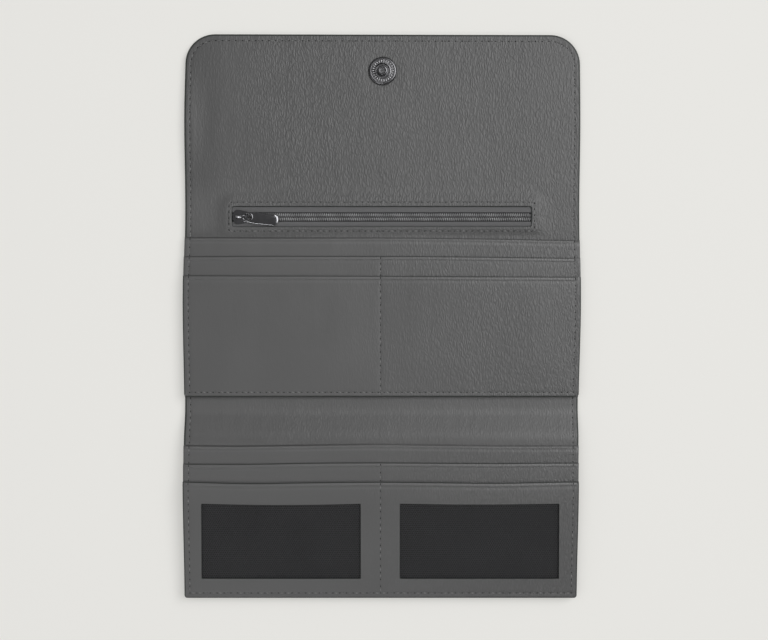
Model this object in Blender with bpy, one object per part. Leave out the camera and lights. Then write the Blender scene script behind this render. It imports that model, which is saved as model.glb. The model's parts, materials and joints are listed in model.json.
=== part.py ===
"""Continental wallet, lying open with its inside up.

The wallet is five leather panels in a row: the snap flap, the strip with the
zip, the middle panel, a bare strip and the card panel. Each strip has a fold at
either side. Heights are measured from the outer face of the leather shell, and
each panel's own Y starts at the fold that carries it.
"""

import math

import bmesh
import bpy
from mathutils import Vector

MM = 0.001

# Panels, from fold to fold
PANEL_WIDTH = 195.4 * MM
FLAP_LENGTH = 80.65 * MM
ZIP_STRIP_LENGTH = 19.7 * MM
MIDDLE_LENGTH = 86.4 * MM
CARD_LENGTH = 79.8 * MM
FLAP_CORNER_RADIUS = 14.6 * MM
CARD_CORNER_RADIUS = 1.6 * MM
STRIP_CORNER_RADIUS = 0.4 * MM
FOLD_GAP = 0.15 * MM

# Leather, board and cloth
SHELL_THICKNESS = 1.0 * MM
LINING_THICKNESS = 0.8 * MM
FILLER_THICKNESS = 0.6 * MM
POCKET_THICKNESS = 0.8 * MM
CARD_LINING_THICKNESS = 0.3 * MM
LAYER_GAP = 0.3 * MM
SEAM_ALLOWANCE = 7.0 * MM
SEAM_CLEARANCE = 0.6 * MM
HEM_WIDTH = 2.2 * MM
HEM_RISE = 0.3 * MM

# Pockets, each mouth measured from the fold or the mouth before it
MIDDLE_MOUTH_SETBACK = 1.0 * MM
CARD_MOUTH_SETBACK = 4.0 * MM
SLOT_STEP = 9.2 * MM
SLOT_STRIP_LENGTH = 14.0 * MM
MIDDLE_STACK_SETBACK = 7.8 * MM
CENTRE_SEAM_WIDTH = 2.4 * MM

# Windows in the front of the card panel, with a net behind each
WINDOW_FROM_SIDE = 9.5 * MM
WINDOW_FROM_CENTRE = 9.6 * MM
WINDOW_FROM_EDGE = 10.0 * MM
WINDOW_HEIGHT = 36.5 * MM
WINDOW_CORNER_RADIUS = 1.2 * MM
NET_THICKNESS = 0.3 * MM
NET_MARGIN = 2.0 * MM
NET_STRAND = 1.1 * MM
NET_COLUMNS = 12
NET_ROWS = 6

# Snap
SNAP_X = 0.8 * MM
SNAP_FROM_EDGE = 18.25 * MM
SNAP_DIAMETER = 13.8 * MM
SNAP_PLATE_THICKNESS = 1.0 * MM
SNAP_GROOVE_DIAMETER = 7.2 * MM
SNAP_GROOVE_DEPTH = 0.4 * MM
NUB_DIAMETER = 4.6 * MM
NUB_HEIGHT = 1.6 * MM
NUB_DIMPLE_DIAMETER = 1.8 * MM
SOCKET_DIAMETER = 12.4 * MM
SOCKET_HEIGHT = 2.2 * MM
SOCKET_WALL_ABOVE = 0.2 * MM
NUB_CLEARANCE = 0.5 * MM
POST_DIAMETER = 3.4 * MM
POST_CLEARANCE = 0.3 * MM
WASHER_DIAMETER = 9.0 * MM
ROUND_STEPS = 28

# Zip
ZIP_WINDOW_FROM_LEFT = 24.1 * MM
ZIP_WINDOW_FROM_RIGHT = 23.4 * MM
ZIP_WINDOW_WIDTH = 9.9 * MM
ZIP_WINDOW_CORNER_RADIUS = 0.8 * MM
ZIP_SEAM_WIDTH = 2.4 * MM
ZIP_SLOPE_WIDTH = 2.0 * MM
ZIP_LINING_THICKNESS = 0.7 * MM
TAPE_THICKNESS = 0.35 * MM
TAPE_SETBACK = 0.3 * MM
TOOTH_PITCH = 1.06 * MM
TOOTH_HEIGHT = 1.1 * MM
TOOTH_NECK = 0.45 * MM
TOOTH_HEAD = 0.62 * MM
TOOTH_REACH = 1.75 * MM
CHAIN_LANE = 0.7 * MM
STOP_LENGTH = 1.4 * MM
BAG_THROAT_THICKNESS = 0.25 * MM
BAG_MARGIN = 5.0 * MM
RUNNING_GAP = 0.25 * MM

# Slider and puller
SLIDER_LENGTH = 7.4 * MM
SLIDER_WIDTH = 6.9 * MM
SLIDER_TAIL_WIDTH = 5.8 * MM
SLIDER_END_GAP = 0.5 * MM
SLIDER_FLOOR_THICKNESS = 0.45 * MM
SLIDER_ROOF_THICKNESS = 0.5 * MM
DIVIDER_THICKNESS = 0.3 * MM
DIVIDER_SHARE = 0.45
BRIDGE_SPAN = 3.8 * MM
BRIDGE_LEG = 0.8 * MM
BRIDGE_THICKNESS = 0.5 * MM
BRIDGE_WIDTH = 1.4 * MM
BRIDGE_ROOT = 0.2 * MM
PULLER_LENGTH = 17.9 * MM
PULLER_WIDTH = 5.4 * MM
PULLER_NECK_WIDTH = 4.8 * MM
PULLER_THICKNESS = 0.8 * MM
PULLER_BAR = 0.8 * MM
PULLER_EYE_LENGTH = 4.0 * MM
PULLER_EYE_WIDTH = 3.0 * MM
PULLER_SKEW = math.radians(6.0)
PULLER_LIFT = 0.45 * MM
BRIDGE_CLEARANCE = 0.3 * MM

# Heights of the layers, from the outer face of the shell
z_filler = SHELL_THICKNESS + LAYER_GAP
z_filler_top = z_filler + FILLER_THICKNESS
z_lining = z_filler_top + LAYER_GAP
z_fold = z_lining + LINING_THICKNESS
z_wall = z_fold + LAYER_GAP
z_strip = z_wall + POCKET_THICKNESS + LAYER_GAP
z_front = z_strip + POCKET_THICKNESS + LAYER_GAP
z_card_front = z_front + NET_THICKNESS + LAYER_GAP
z_card_top = z_card_front + POCKET_THICKNESS

# Heights in the zip, from the bag's throat up to the puller
z_throat_top = z_filler + BAG_THROAT_THICKNESS
z_slider = z_throat_top + RUNNING_GAP
z_slider_floor = z_slider + SLIDER_FLOOR_THICKNESS
z_tooth = z_slider_floor + RUNNING_GAP
z_tooth_top = z_tooth + TOOTH_HEIGHT
z_tape = z_tooth + (TOOTH_HEIGHT - TAPE_THICKNESS) / 2
z_tape_top = z_tape + TAPE_THICKNESS
z_slider_roof = z_tooth_top + RUNNING_GAP
z_slider_top = z_slider_roof + SLIDER_ROOF_THICKNESS
z_zip_lining = z_tape_top + LAYER_GAP
z_zip_lining_top = z_zip_lining + ZIP_LINING_THICKNESS
z_bar = max(z_slider_top, z_zip_lining_top) + PULLER_LIFT + PULLER_THICKNESS / 2
z_bridge = z_bar + PULLER_BAR / 2 + BRIDGE_CLEARANCE

# Closed, the flap lies over the card panel, and the two halves of the snap are what keeps them apart
male_height = LAYER_GAP + SNAP_PLATE_THICKNESS
female_height = LAYER_GAP + SOCKET_HEIGHT
bare_strip_length = ZIP_STRIP_LENGTH - z_fold - male_height - LAYER_GAP - female_height
snap_from_fold = FLAP_LENGTH - SNAP_FROM_EDGE
socket_from_fold = MIDDLE_LENGTH - snap_from_fold

# Open, the card panel leans on its socket and its free edge, which lifts the bare strip's outer fold
card_tilt = math.atan2(female_height, CARD_LENGTH - socket_from_fold - SOCKET_DIAMETER / 2)
card_fold_height = CARD_LENGTH * math.sin(card_tilt) + z_fold * math.cos(card_tilt)
strip_tilt = math.asin((card_fold_height - z_fold) / bare_strip_length)
card_reach = CARD_LENGTH * math.cos(card_tilt) + (z_card_top - z_fold) * math.sin(card_tilt)

# Folds along Y, with the open wallet centred
strip_reach = bare_strip_length * math.cos(strip_tilt)
open_length = FLAP_LENGTH + ZIP_STRIP_LENGTH + MIDDLE_LENGTH + strip_reach + card_reach
flap_fold_y = open_length / 2 - FLAP_LENGTH
zip_fold_y = flap_fold_y - ZIP_STRIP_LENGTH
strip_fold_y = zip_fold_y - MIDDLE_LENGTH
card_fold_y = strip_fold_y - strip_reach

half_width = PANEL_WIDTH / 2
window_width = half_width - WINDOW_FROM_SIDE - WINDOW_FROM_CENTRE
window_x = WINDOW_FROM_CENTRE + window_width / 2
zip_y = ZIP_STRIP_LENGTH / 2
zip_window_x = (ZIP_WINDOW_FROM_LEFT - ZIP_WINDOW_FROM_RIGHT) / 2
zip_window_length = PANEL_WIDTH - ZIP_WINDOW_FROM_LEFT - ZIP_WINDOW_FROM_RIGHT
slider_x = zip_window_x - zip_window_length / 2 + SLIDER_END_GAP + SLIDER_LENGTH / 2
slider_travel = zip_window_length - SLIDER_LENGTH - 2 * SLIDER_END_GAP
puller_x = BRIDGE_SPAN / 2 - PULLER_BAR / 2 - BRIDGE_CLEARANCE


def clear_scene():
    for old in list(bpy.data.objects):
        bpy.data.objects.remove(old)


def material(name, colour, roughness, metallic=0.0):
    made = bpy.data.materials.new(name)
    made.use_nodes = True
    shader = made.node_tree.nodes["Principled BSDF"]
    shader.inputs["Base Color"].default_value = (*colour, 1.0)
    shader.inputs["Roughness"].default_value = roughness
    shader.inputs["Metallic"].default_value = metallic
    made.diffuse_color = (*colour, 1.0)
    return made


def joint_frame(name, parent, location, rotation=(0.0, 0.0, 0.0)):
    """An empty on a joint's axis, which the moving pieces hang from."""
    frame = bpy.data.objects.new(name, None)
    frame.empty_display_size = 0.01
    bpy.context.scene.collection.objects.link(frame)
    frame.parent = parent
    frame.location = location
    frame.rotation_euler = rotation
    return frame


def new_object(name, bm, finish, frame, height=None):
    """A bmesh as an object of its frame. Panels sit below their fold's axis by its height."""
    bmesh.ops.recalc_face_normals(bm, faces=bm.faces)
    mesh = bpy.data.meshes.new(name)
    bm.to_mesh(mesh)
    bm.free()
    mesh.materials.append(finish)
    obj = bpy.data.objects.new(name, mesh)
    bpy.context.scene.collection.objects.link(obj)
    obj.parent = frame
    obj.location.z = -z_fold if height is None else height
    return obj


def round_shading(obj, degrees=35):
    obj.data.shade_smooth()
    obj.data.set_sharp_from_angle(angle=math.radians(degrees))
    return obj


def cut_out(obj, cutter):
    """Cuts a helper's shape from an object. The helper stays as a hidden guide."""
    cutter.hide_render = True
    cutter.display_type = "WIRE"
    hole = obj.modifiers.new(cutter.name, "BOOLEAN")
    hole.operation = "DIFFERENCE"
    hole.solver = "EXACT"
    hole.object = cutter


def loops_solid(name, loops, finish, frame, height=None, ring=False):
    """Loops of points joined one to the next. The ends are capped, or joined to make a ring."""
    bm = bmesh.new()
    rows = [[bm.verts.new(point) for point in loop] for loop in loops]
    pairs = list(zip(rows, rows[1:]))
    if ring:
        pairs.append((rows[-1], rows[0]))
    for low, high in pairs:
        for i in range(len(low)):
            j = (i + 1) % len(low)
            bm.faces.new((low[i], low[j], high[j], high[i]))
    if not ring:
        bm.faces.new(rows[0])
        bm.faces.new(rows[-1])
    return new_object(name, bm, finish, frame, height)


def turned(name, profile, centre, finish, frame, ring=False, steps=ROUND_STEPS):
    """A profile of radius and height, turned round an upright axis."""
    loops = []
    circle = [(math.cos(2 * math.pi * i / steps), math.sin(2 * math.pi * i / steps)) for i in range(steps)]
    for radius, z in profile:
        loops.append([(centre[0] + radius * cos, centre[1] + radius * sin, z) for cos, sin in circle])
    return round_shading(loops_solid(name, loops, finish, frame, ring=ring))


def hole_cutter(name, centre, diameter, bottom, top, finish, frame):
    profile = [(diameter / 2, bottom), (diameter / 2, top)]
    return turned(name, profile, centre, finish, frame, steps=16)


def across_profile(name, profile, finish, frame, left=-half_width, right=half_width):
    """A profile of Y and height, carried across the panel from left to right."""
    loops = [[(x, y, z) for y, z in profile] for x in (left, right)]
    return loops_solid(name, loops, finish, frame)


def along_profile(name, profile, start, end, finish, frame):
    """A profile of X and height, carried along the panel from start to end."""
    loops = [[(x, y, z) for x, z in profile] for y in (start, end)]
    return loops_solid(name, loops, finish, frame)


def plate(name, x_span, y_span, z_span, finish, frame):
    (x0, x1), (y0, y1), (z0, z1) = x_span, y_span, z_span
    profile = [(y0, z0), (y1, z0), (y1, z1), (y0, z1)]
    return across_profile(name, profile, finish, frame, x0, x1)


def rounded_rectangle(centre, width, height, radius, z, steps=4):
    points = []
    for quarter in range(4):
        turn = quarter * math.pi / 2
        x_sign = 1 if quarter in (0, 3) else -1
        y_sign = 1 if quarter in (0, 1) else -1
        for step in range(steps + 1):
            angle = turn + step * math.pi / 2 / steps
            x = centre[0] + x_sign * (width / 2 - radius) + radius * math.cos(angle)
            y = centre[1] + y_sign * (height / 2 - radius) + radius * math.sin(angle)
            points.append((x, y, z))
    return points


def end_path(reach, start, end, radius, steps=6):
    """One side, the round far corners and the other side of a panel that runs from start to end."""
    way = 1 if end > start else -1
    points = [(-reach, start)]
    for side in (-1, 1):
        for step in range(steps + 1):
            angle = math.pi / 2 * (step / steps if side < 0 else 1 - step / steps)
            x = side * (reach - radius + radius * math.cos(angle))
            y = end - way * (radius - radius * math.sin(angle))
            points.append((x, y))
    points.append((reach, start))
    return points


def end_plate(name, start, end, radius, z_span, finish, frame):
    """A panel whose far corners are round."""
    loops = [[(x, y, z) for x, y in end_path(half_width, start, end, radius)] for z in z_span]
    return loops_solid(name, loops, finish, frame)


def end_shell(name, start, end, radius, finish, frame):
    """Outer leather of a panel with a free end, with its seam allowance turned up round three sides."""
    way = 1 if end > start else -1
    inner_end = end - way * SEAM_ALLOWANCE
    inner_radius = max(radius - SEAM_ALLOWANCE, 0.5 * radius)
    outer = end_path(half_width, start, end, radius)
    inner = end_path(half_width - SEAM_ALLOWANCE, start, inner_end, inner_radius)
    bm = bmesh.new()
    outer_verts = [bm.verts.new((x, y, 0)) for x, y in outer]
    inner_verts = [bm.verts.new((x, y, 0)) for x, y in inner]
    floor = bm.faces.new(inner_verts)
    seam = bm.faces.new(outer_verts + inner_verts[::-1])
    seam_top = push_faces(bm, [floor, seam], Vector((0, 0, SHELL_THICKNESS)))[1]
    push_faces(bm, [seam_top], Vector((0, 0, z_filler_top - SHELL_THICKNESS)))
    return new_object(name, bm, finish, frame)


def push_faces(bm, faces, offset):
    """Extrudes faces by an offset and returns the pushed ones in the same order."""
    wanted = [face.calc_center_median() + offset for face in faces]
    edges = {edge for face in faces for edge in face.edges}
    made = bmesh.ops.extrude_face_region(bm, geom=[*faces, *edges])["geom"]
    verts = [item for item in made if isinstance(item, bmesh.types.BMVert)]
    pushed = [item for item in made if isinstance(item, bmesh.types.BMFace)]
    bmesh.ops.translate(bm, vec=offset, verts=verts)
    return [min(pushed, key=lambda face: (face.calc_center_median() - place).length) for place in wanted]


def strip_shell(name, start, end, finish, frame):
    """Outer leather between two folds, with its seam allowance turned up at both sides."""
    inner = half_width - SEAM_ALLOWANCE
    profile = [(-half_width, 0), (half_width, 0), (half_width, z_filler_top), (inner, z_filler_top)]
    profile += [(inner, SHELL_THICKNESS), (-inner, SHELL_THICKNESS)]
    profile += [(-inner, z_filler_top), (-half_width, z_filler_top)]
    return along_profile(name, profile, start, end, finish, frame)


def hemmed_panel(name, mouth, end, bottom, finish, frame):
    """A pocket layer whose mouth edge is turned back, so that it is a little thicker there."""
    top = bottom + POCKET_THICKNESS
    raised = top + HEM_RISE
    hem = mouth - HEM_WIDTH
    profile = [(end, bottom), (mouth, bottom), (mouth, raised)]
    profile += [(hem, raised), (hem - HEM_RISE, top), (end, top)]
    return across_profile(name, profile, finish, frame)


def front_panel(name, mouth, seam_start, end, bottom, finish, frame):
    """Front of a pocket stack. Its edges are turned in, down to the pocket wall, below the card strip."""
    hem = mouth - HEM_WIDTH
    outer = end_path(half_width, seam_start, end, CARD_CORNER_RADIUS)
    inner_reach = half_width - SEAM_ALLOWANCE
    inner = end_path(inner_reach, seam_start, end + SEAM_ALLOWANCE, 0.5 * CARD_CORNER_RADIUS)
    bm = bmesh.new()
    lip = [bm.verts.new((x, mouth, bottom)) for x in (-half_width, half_width)]
    fold = [bm.verts.new((x, hem, bottom)) for x in (-half_width, half_width)]
    outer_verts = [bm.verts.new((x, y, bottom)) for x, y in outer]
    inner_verts = [bm.verts.new((x, y, bottom)) for x, y in inner]
    edge = bm.faces.new((lip[0], lip[1], fold[1], fold[0]))
    field = bm.faces.new([fold[0], fold[1], outer_verts[-1], *inner_verts[::-1], outer_verts[0]])
    seam = bm.faces.new(outer_verts + inner_verts[::-1])
    raised_edge = push_faces(bm, [edge, field, seam], Vector((0, 0, POCKET_THICKNESS)))[0]
    push_faces(bm, [raised_edge], Vector((0, 0, HEM_RISE)))
    push_faces(bm, [seam], Vector((0, 0, z_strip - bottom)))
    return new_object(name, bm, finish, frame)


def pocket_stack(place, first_mouth, end, front_bottom, finishes, frame):
    """Three mouths, each a step further down: the wide pocket, the card strip and the front."""
    leather, cloth = finishes
    second_mouth = first_mouth - SLOT_STEP
    third_mouth = second_mouth - SLOT_STEP
    hemmed_panel(f"bill_pocket_{place}", first_mouth, end, z_wall, leather, frame)
    strip_end = second_mouth - SLOT_STRIP_LENGTH
    hemmed_panel(f"card_strip_{place}", second_mouth, strip_end, z_strip, leather, frame)
    for side, sign in (("left", -1), ("right", 1)):
        x_span = sorted((sign * CENTRE_SEAM_WIDTH / 2, sign * (half_width - SEAM_ALLOWANCE - LAYER_GAP)))
        y_span = (end + SEAM_ALLOWANCE + LAYER_GAP, strip_end - LAYER_GAP)
        z_span = (z_strip, z_strip + CARD_LINING_THICKNESS)
        plate(f"card_lining_{place}_{side}", x_span, y_span, z_span, cloth, frame)
    seam_start = strip_end - LAYER_GAP
    return front_panel(f"front_panel_{place}", third_mouth, seam_start, end, front_bottom, leather, frame)


def stiffener(name, y_span, finish, frame):
    reach = half_width - SEAM_ALLOWANCE - SEAM_CLEARANCE
    return plate(name, (-reach, reach), y_span, (z_filler, z_filler_top), finish, frame)


def snap_washer(name, centre, finish, frame):
    inner = POST_DIAMETER / 2 + POST_CLEARANCE
    outer = WASHER_DIAMETER / 2
    profile = [(inner, z_filler), (outer, z_filler), (outer, z_filler_top), (inner, z_filler_top)]
    turned(name, profile, centre, finish, frame, ring=True)


def snap_stud(centre, finish, frame):
    """The male half: a post through the lining, a plate with a groove and the raised nub."""
    base = z_fold + LAYER_GAP
    face = base + SNAP_PLATE_THICKNESS
    rim = SNAP_DIAMETER / 2
    groove = SNAP_GROOVE_DIAMETER / 2
    nub = NUB_DIAMETER / 2
    dimple = NUB_DIMPLE_DIAMETER / 2
    tip = face + NUB_HEIGHT
    chamfer = 0.3 * SNAP_PLATE_THICKNESS
    profile = [
        (POST_DIAMETER / 2, z_filler),
        (POST_DIAMETER / 2, base),
        (rim, base),
        (rim, face - chamfer),
        (rim - 2 * chamfer, face),
        (groove, face),
        (groove - SNAP_GROOVE_DEPTH / 2, face - SNAP_GROOVE_DEPTH),
        (nub, face - SNAP_GROOVE_DEPTH),
        (nub, tip - chamfer),
        (nub - chamfer, tip),
        (dimple, tip),
        (dimple - chamfer, tip - chamfer),
    ]
    turned("snap_male", profile, centre, finish, frame)


def snap_socket(centre, finish, frame):
    """The female half, on the outer face of the card panel."""
    rim = SOCKET_DIAMETER / 2
    bore = NUB_DIAMETER / 2 + NUB_CLEARANCE
    face = -female_height
    chamfer = 0.3 * SOCKET_HEIGHT
    lip = 0.3 * chamfer
    profile = [
        (POST_DIAMETER / 2, z_filler_top),
        (POST_DIAMETER / 2, -LAYER_GAP),
        (rim, -LAYER_GAP),
        (rim, face + chamfer),
        (rim - chamfer, face),
        (bore + lip, face),
        (bore, face + lip),
        (bore, -LAYER_GAP - SOCKET_WALL_ABOVE),
    ]
    turned("snap_female", profile, centre, finish, frame)


def net(name, centre, finish, frame):
    """A flat net in a bound edge that is tucked behind the window."""
    pitch_x = (window_width + NET_STRAND) / NET_COLUMNS
    pitch_y = (WINDOW_HEIGHT + NET_STRAND) / NET_ROWS

    def lines(middle, size, pitch, count):
        first = middle - count * pitch / 2
        stations = [middle - size / 2 - NET_MARGIN]
        for k in range(count):
            stations += [first + k * pitch + NET_STRAND / 2, first + (k + 1) * pitch - NET_STRAND / 2]
        return stations + [middle + size / 2 + NET_MARGIN]

    columns = lines(centre[0], window_width, pitch_x, NET_COLUMNS)
    rows = lines(centre[1], WINDOW_HEIGHT, pitch_y, NET_ROWS)
    bm = bmesh.new()
    grid = [[bm.verts.new((x, y, z_front)) for x in columns] for y in rows]
    strands = []
    for j in range(len(rows) - 1):
        for i in range(len(columns) - 1):
            if i % 2 and j % 2:
                continue
            strands.append(bm.faces.new((grid[j][i], grid[j][i + 1], grid[j + 1][i + 1], grid[j + 1][i])))
    made = bmesh.ops.extrude_face_region(bm, geom=strands)["geom"]
    raised = [v for v in made if isinstance(v, bmesh.types.BMVert)]
    bmesh.ops.translate(bm, vec=(0, 0, NET_THICKNESS), verts=raised)
    return new_object(name, bm, finish, frame)


def zip_window_loop(margin, z):
    centre = (zip_window_x, zip_y)
    width = zip_window_length + 2 * margin
    height = ZIP_WINDOW_WIDTH + 2 * margin
    return rounded_rectangle(centre, width, height, ZIP_WINDOW_CORNER_RADIUS + margin / 2, z)


def zip_lining(finish, frame):
    """Lining of the zip strip, which swells over the tapes round a window for the chain."""
    seam = ZIP_SEAM_WIDTH
    foot = ZIP_SEAM_WIDTH + ZIP_SLOPE_WIDTH
    length = ZIP_STRIP_LENGTH - 2 * FOLD_GAP
    edge = ((0, zip_y), PANEL_WIDTH, length, STRIP_CORNER_RADIUS)
    loops = [
        rounded_rectangle(*edge, z_lining),
        rounded_rectangle(*edge, z_fold),
        zip_window_loop(foot, z_fold),
        zip_window_loop(seam, z_zip_lining_top),
        zip_window_loop(0, z_zip_lining_top),
        zip_window_loop(0, z_zip_lining),
        zip_window_loop(seam, z_zip_lining),
        zip_window_loop(foot, z_lining),
    ]
    return loops_solid("lining_zip_strip", loops, finish, frame, ring=True)


def zip_tape(name, side, stagger, finish, frame):
    """One tape, with its row of teeth along the inner edge. Each tooth widens from its neck to its head."""
    lane = side * CHAIN_LANE / 2
    root = side * (CHAIN_LANE / 2 + TOOTH_REACH)
    outer = side * (ZIP_WINDOW_WIDTH / 2 + ZIP_SEAM_WIDTH - TAPE_SETBACK)
    reach = zip_window_length / 2 + ZIP_SEAM_WIDTH - TAPE_SETBACK
    toothed = zip_window_length - 2 * TAPE_SETBACK - TOOTH_PITCH
    count = int(toothed / TOOTH_PITCH)
    first = zip_window_x - (count - 1) * TOOTH_PITCH / 2 + stagger * TOOTH_PITCH
    stations = [zip_window_x - reach]
    for k in range(count):
        centre = first + k * TOOTH_PITCH
        stations += [centre - TOOTH_NECK / 2, centre + TOOTH_NECK / 2]
    stations.append(zip_window_x + reach)
    bm = bmesh.new()
    low = [bm.verts.new((x, zip_y + root, z_tape)) for x in stations]
    high = [bm.verts.new((x, zip_y + root, z_tape_top)) for x in stations]
    far_low = [bm.verts.new((x, zip_y + outer, z_tape)) for x in (stations[0], stations[-1])]
    far_high = [bm.verts.new((x, zip_y + outer, z_tape_top)) for x in (stations[0], stations[-1])]
    bm.faces.new(low + far_low[::-1])
    bm.faces.new(high + far_high[::-1])
    bm.faces.new((far_low[0], far_low[1], far_high[1], far_high[0]))
    bm.faces.new((low[0], far_low[0], far_high[0], high[0]))
    bm.faces.new((low[-1], far_low[1], far_high[1], high[-1]))
    necks = []
    for i in range(len(stations) - 1):
        face = bm.faces.new((low[i], low[i + 1], high[i + 1], high[i]))
        if i % 2:
            necks.append(face)
    bmesh.ops.recalc_face_normals(bm, faces=bm.faces)
    heads = bmesh.ops.extrude_discrete_faces(bm, faces=necks)["faces"]
    middle = (z_tape + z_tape_top) / 2
    for head in heads:
        centre = head.calc_center_median().x
        for vert in head.verts:
            vert.co.x = centre + math.copysign(TOOTH_HEAD / 2, vert.co.x - centre)
            vert.co.y = zip_y + lane
            vert.co.z = middle + math.copysign(TOOTH_HEIGHT / 2, vert.co.z - middle)
    return new_object(name, bm, finish, frame)


def zip_stop(name, side, finish, frame):
    """A metal clamp between the tapes at one end of the chain."""
    reach = CHAIN_LANE / 2 + TOOTH_REACH - RUNNING_GAP
    near = zip_window_length / 2 + TAPE_SETBACK
    ends = [zip_window_x + side * near, zip_window_x + side * (near + STOP_LENGTH)]
    plate(name, sorted(ends), (zip_y - reach, zip_y + reach), (z_tooth, z_tape_top), finish, frame)


def slider_section(bm, x):
    """Floor, divider and roof of the slider as three faces across it."""
    outer = SLIDER_WIDTH / 2
    inner = CHAIN_LANE / 2 + TOOTH_REACH + RUNNING_GAP
    half = DIVIDER_THICKNESS / 2
    floor_lip = z_tape - RUNNING_GAP
    roof_lip = z_tape_top + RUNNING_GAP

    def row(points):
        return [bm.verts.new((x, y, z)) for y, z in points]

    low_outer = row([(-outer, floor_lip), (-outer, z_slider), (outer, z_slider), (outer, floor_lip)])
    low_inner = row([(inner, floor_lip), (inner, z_slider_floor), (half, z_slider_floor)])
    low_inner += row([(-half, z_slider_floor), (-inner, z_slider_floor), (-inner, floor_lip)])
    high_outer = row([(outer, roof_lip), (outer, z_slider_top), (-outer, z_slider_top), (-outer, roof_lip)])
    high_inner = row([(-inner, roof_lip), (-inner, z_slider_roof), (-half, z_slider_roof)])
    high_inner += row([(half, z_slider_roof), (inner, z_slider_roof), (inner, roof_lip)])
    floor = bm.faces.new(low_outer + low_inner)
    roof = bm.faces.new(high_outer + high_inner)
    divider = bm.faces.new((low_inner[3], low_inner[2], high_inner[3], high_inner[2]))
    return floor, roof, divider


def zip_slider(finish, frame):
    """Slider body. The divider parts the two rows only in the wide leading half."""
    bm = bmesh.new()
    nose = Vector((DIVIDER_SHARE * SLIDER_LENGTH, 0, 0))
    tail_end = Vector(((1 - DIVIDER_SHARE) * SLIDER_LENGTH, 0, 0))
    floor, roof, divider = push_faces(bm, slider_section(bm, -SLIDER_LENGTH / 2), nose)
    push_faces(bm, [floor, roof], tail_end)
    tail = SLIDER_TAIL_WIDTH / SLIDER_WIDTH
    for vert in bm.verts:
        if vert.co.x > SLIDER_LENGTH / 2 - MM / 10 and abs(vert.co.y) > SLIDER_WIDTH / 2 - MM / 10:
            vert.co.y *= tail
    body = new_object("zip_slider", bm, finish, frame, height=0)
    join = body.modifiers.new("bridge", "BOOLEAN")
    join.operation = "UNION"
    join.solver = "EXACT"
    join.object = slider_bridge(finish, frame)
    return body


def slider_bridge(finish, frame):
    """The arch on the slider that the puller's bar passes under."""
    inner = BRIDGE_SPAN / 2
    outer = inner + BRIDGE_LEG
    foot = z_slider_top - BRIDGE_ROOT
    top = z_bridge + BRIDGE_THICKNESS
    bend = 0.5 * BRIDGE_LEG
    profile = [(-outer, foot), (-inner, foot), (-inner, z_bridge - bend), (-inner + bend, z_bridge)]
    profile += [(inner - bend, z_bridge), (inner, z_bridge - bend), (inner, foot), (outer, foot)]
    profile += [(outer, z_bridge - bend), (outer - 2 * bend, top)]
    profile += [(-outer + 2 * bend, top), (-outer, z_bridge - bend)]
    loops = [[(x, y, z) for x, z in profile] for y in (-BRIDGE_WIDTH / 2, BRIDGE_WIDTH / 2)]
    guide = loops_solid("bridge_guide", loops, finish, frame, height=0)
    guide.hide_render = True
    guide.display_type = "WIRE"
    return guide


def zip_puller(finish, frame):
    """Pull tab: a bar, an eye round the bridge and a flat tab with a round end."""
    start = -PULLER_BAR / 2
    end = start + PULLER_LENGTH
    neck = PULLER_NECK_WIDTH / 2
    body = PULLER_WIDTH / 2
    shoulder = PULLER_BAR / 2 + PULLER_EYE_LENGTH + PULLER_BAR
    outline = [(start, -neck), (shoulder, -body)]
    steps = 8
    for step in range(steps + 1):
        angle = -math.pi / 2 + math.pi * step / steps
        outline.append((end - body + body * math.cos(angle), body * math.sin(angle)))
    outline += [(shoulder, body), (start, neck)]
    half = PULLER_THICKNESS / 2
    loops = [[(x, y, z) for x, y in outline] for z in (-half, half)]
    tab = loops_solid("zip_puller", loops, finish, frame, height=0)
    eye_centre = (PULLER_BAR / 2 + PULLER_EYE_LENGTH / 2, 0)
    size = (PULLER_EYE_LENGTH, PULLER_EYE_WIDTH)
    eye_loops = [rounded_rectangle(eye_centre, *size, 0.15 * PULLER_EYE_WIDTH, z) for z in (-MM, MM)]
    cut_out(tab, loops_solid("eye_guide", eye_loops, finish, frame, height=0))
    return tab


def flap(leather, cloth, metal, frame):
    snap = (SNAP_X, snap_from_fold)
    end_shell("shell_flap", FOLD_GAP, FLAP_LENGTH, FLAP_CORNER_RADIUS, leather, frame)
    z_span = (z_lining, z_fold)
    lining = end_plate("lining_flap", FOLD_GAP, FLAP_LENGTH, FLAP_CORNER_RADIUS, z_span, leather, frame)
    hole = POST_DIAMETER + 2 * POST_CLEARANCE
    cut_out(lining, hole_cutter("stud_hole_guide", snap, hole, z_filler, z_wall, leather, frame))
    reach = half_width - SEAM_ALLOWANCE - BAG_MARGIN
    bag_end = snap_from_fold - WASHER_DIAMETER / 2 - BAG_MARGIN
    plate("coin_bag", (-reach, reach), (FOLD_GAP, bag_end), (z_filler, z_filler_top), cloth, frame)
    snap_stud(snap, metal, frame)
    snap_washer("snap_male_washer", snap, metal, frame)


def zip_strip(leather, cloth, metal, frame):
    strip_shell("shell_zip_strip", FOLD_GAP, ZIP_STRIP_LENGTH - FOLD_GAP, leather, frame)
    zip_lining(leather, frame)
    reach = half_width - SEAM_ALLOWANCE - BAG_MARGIN
    y_span = (zip_y - ZIP_WINDOW_WIDTH / 2 - ZIP_SEAM_WIDTH, ZIP_STRIP_LENGTH - FOLD_GAP)
    plate("coin_bag_throat", (-reach, reach), y_span, (z_filler, z_throat_top), cloth, frame)
    zip_tape("zip_tape_upper", 1, 0.25, cloth, frame)
    zip_tape("zip_tape_lower", -1, -0.25, cloth, frame)
    zip_stop("zip_stop_closed", -1, metal, frame)
    zip_stop("zip_stop_open", 1, metal, frame)


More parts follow.
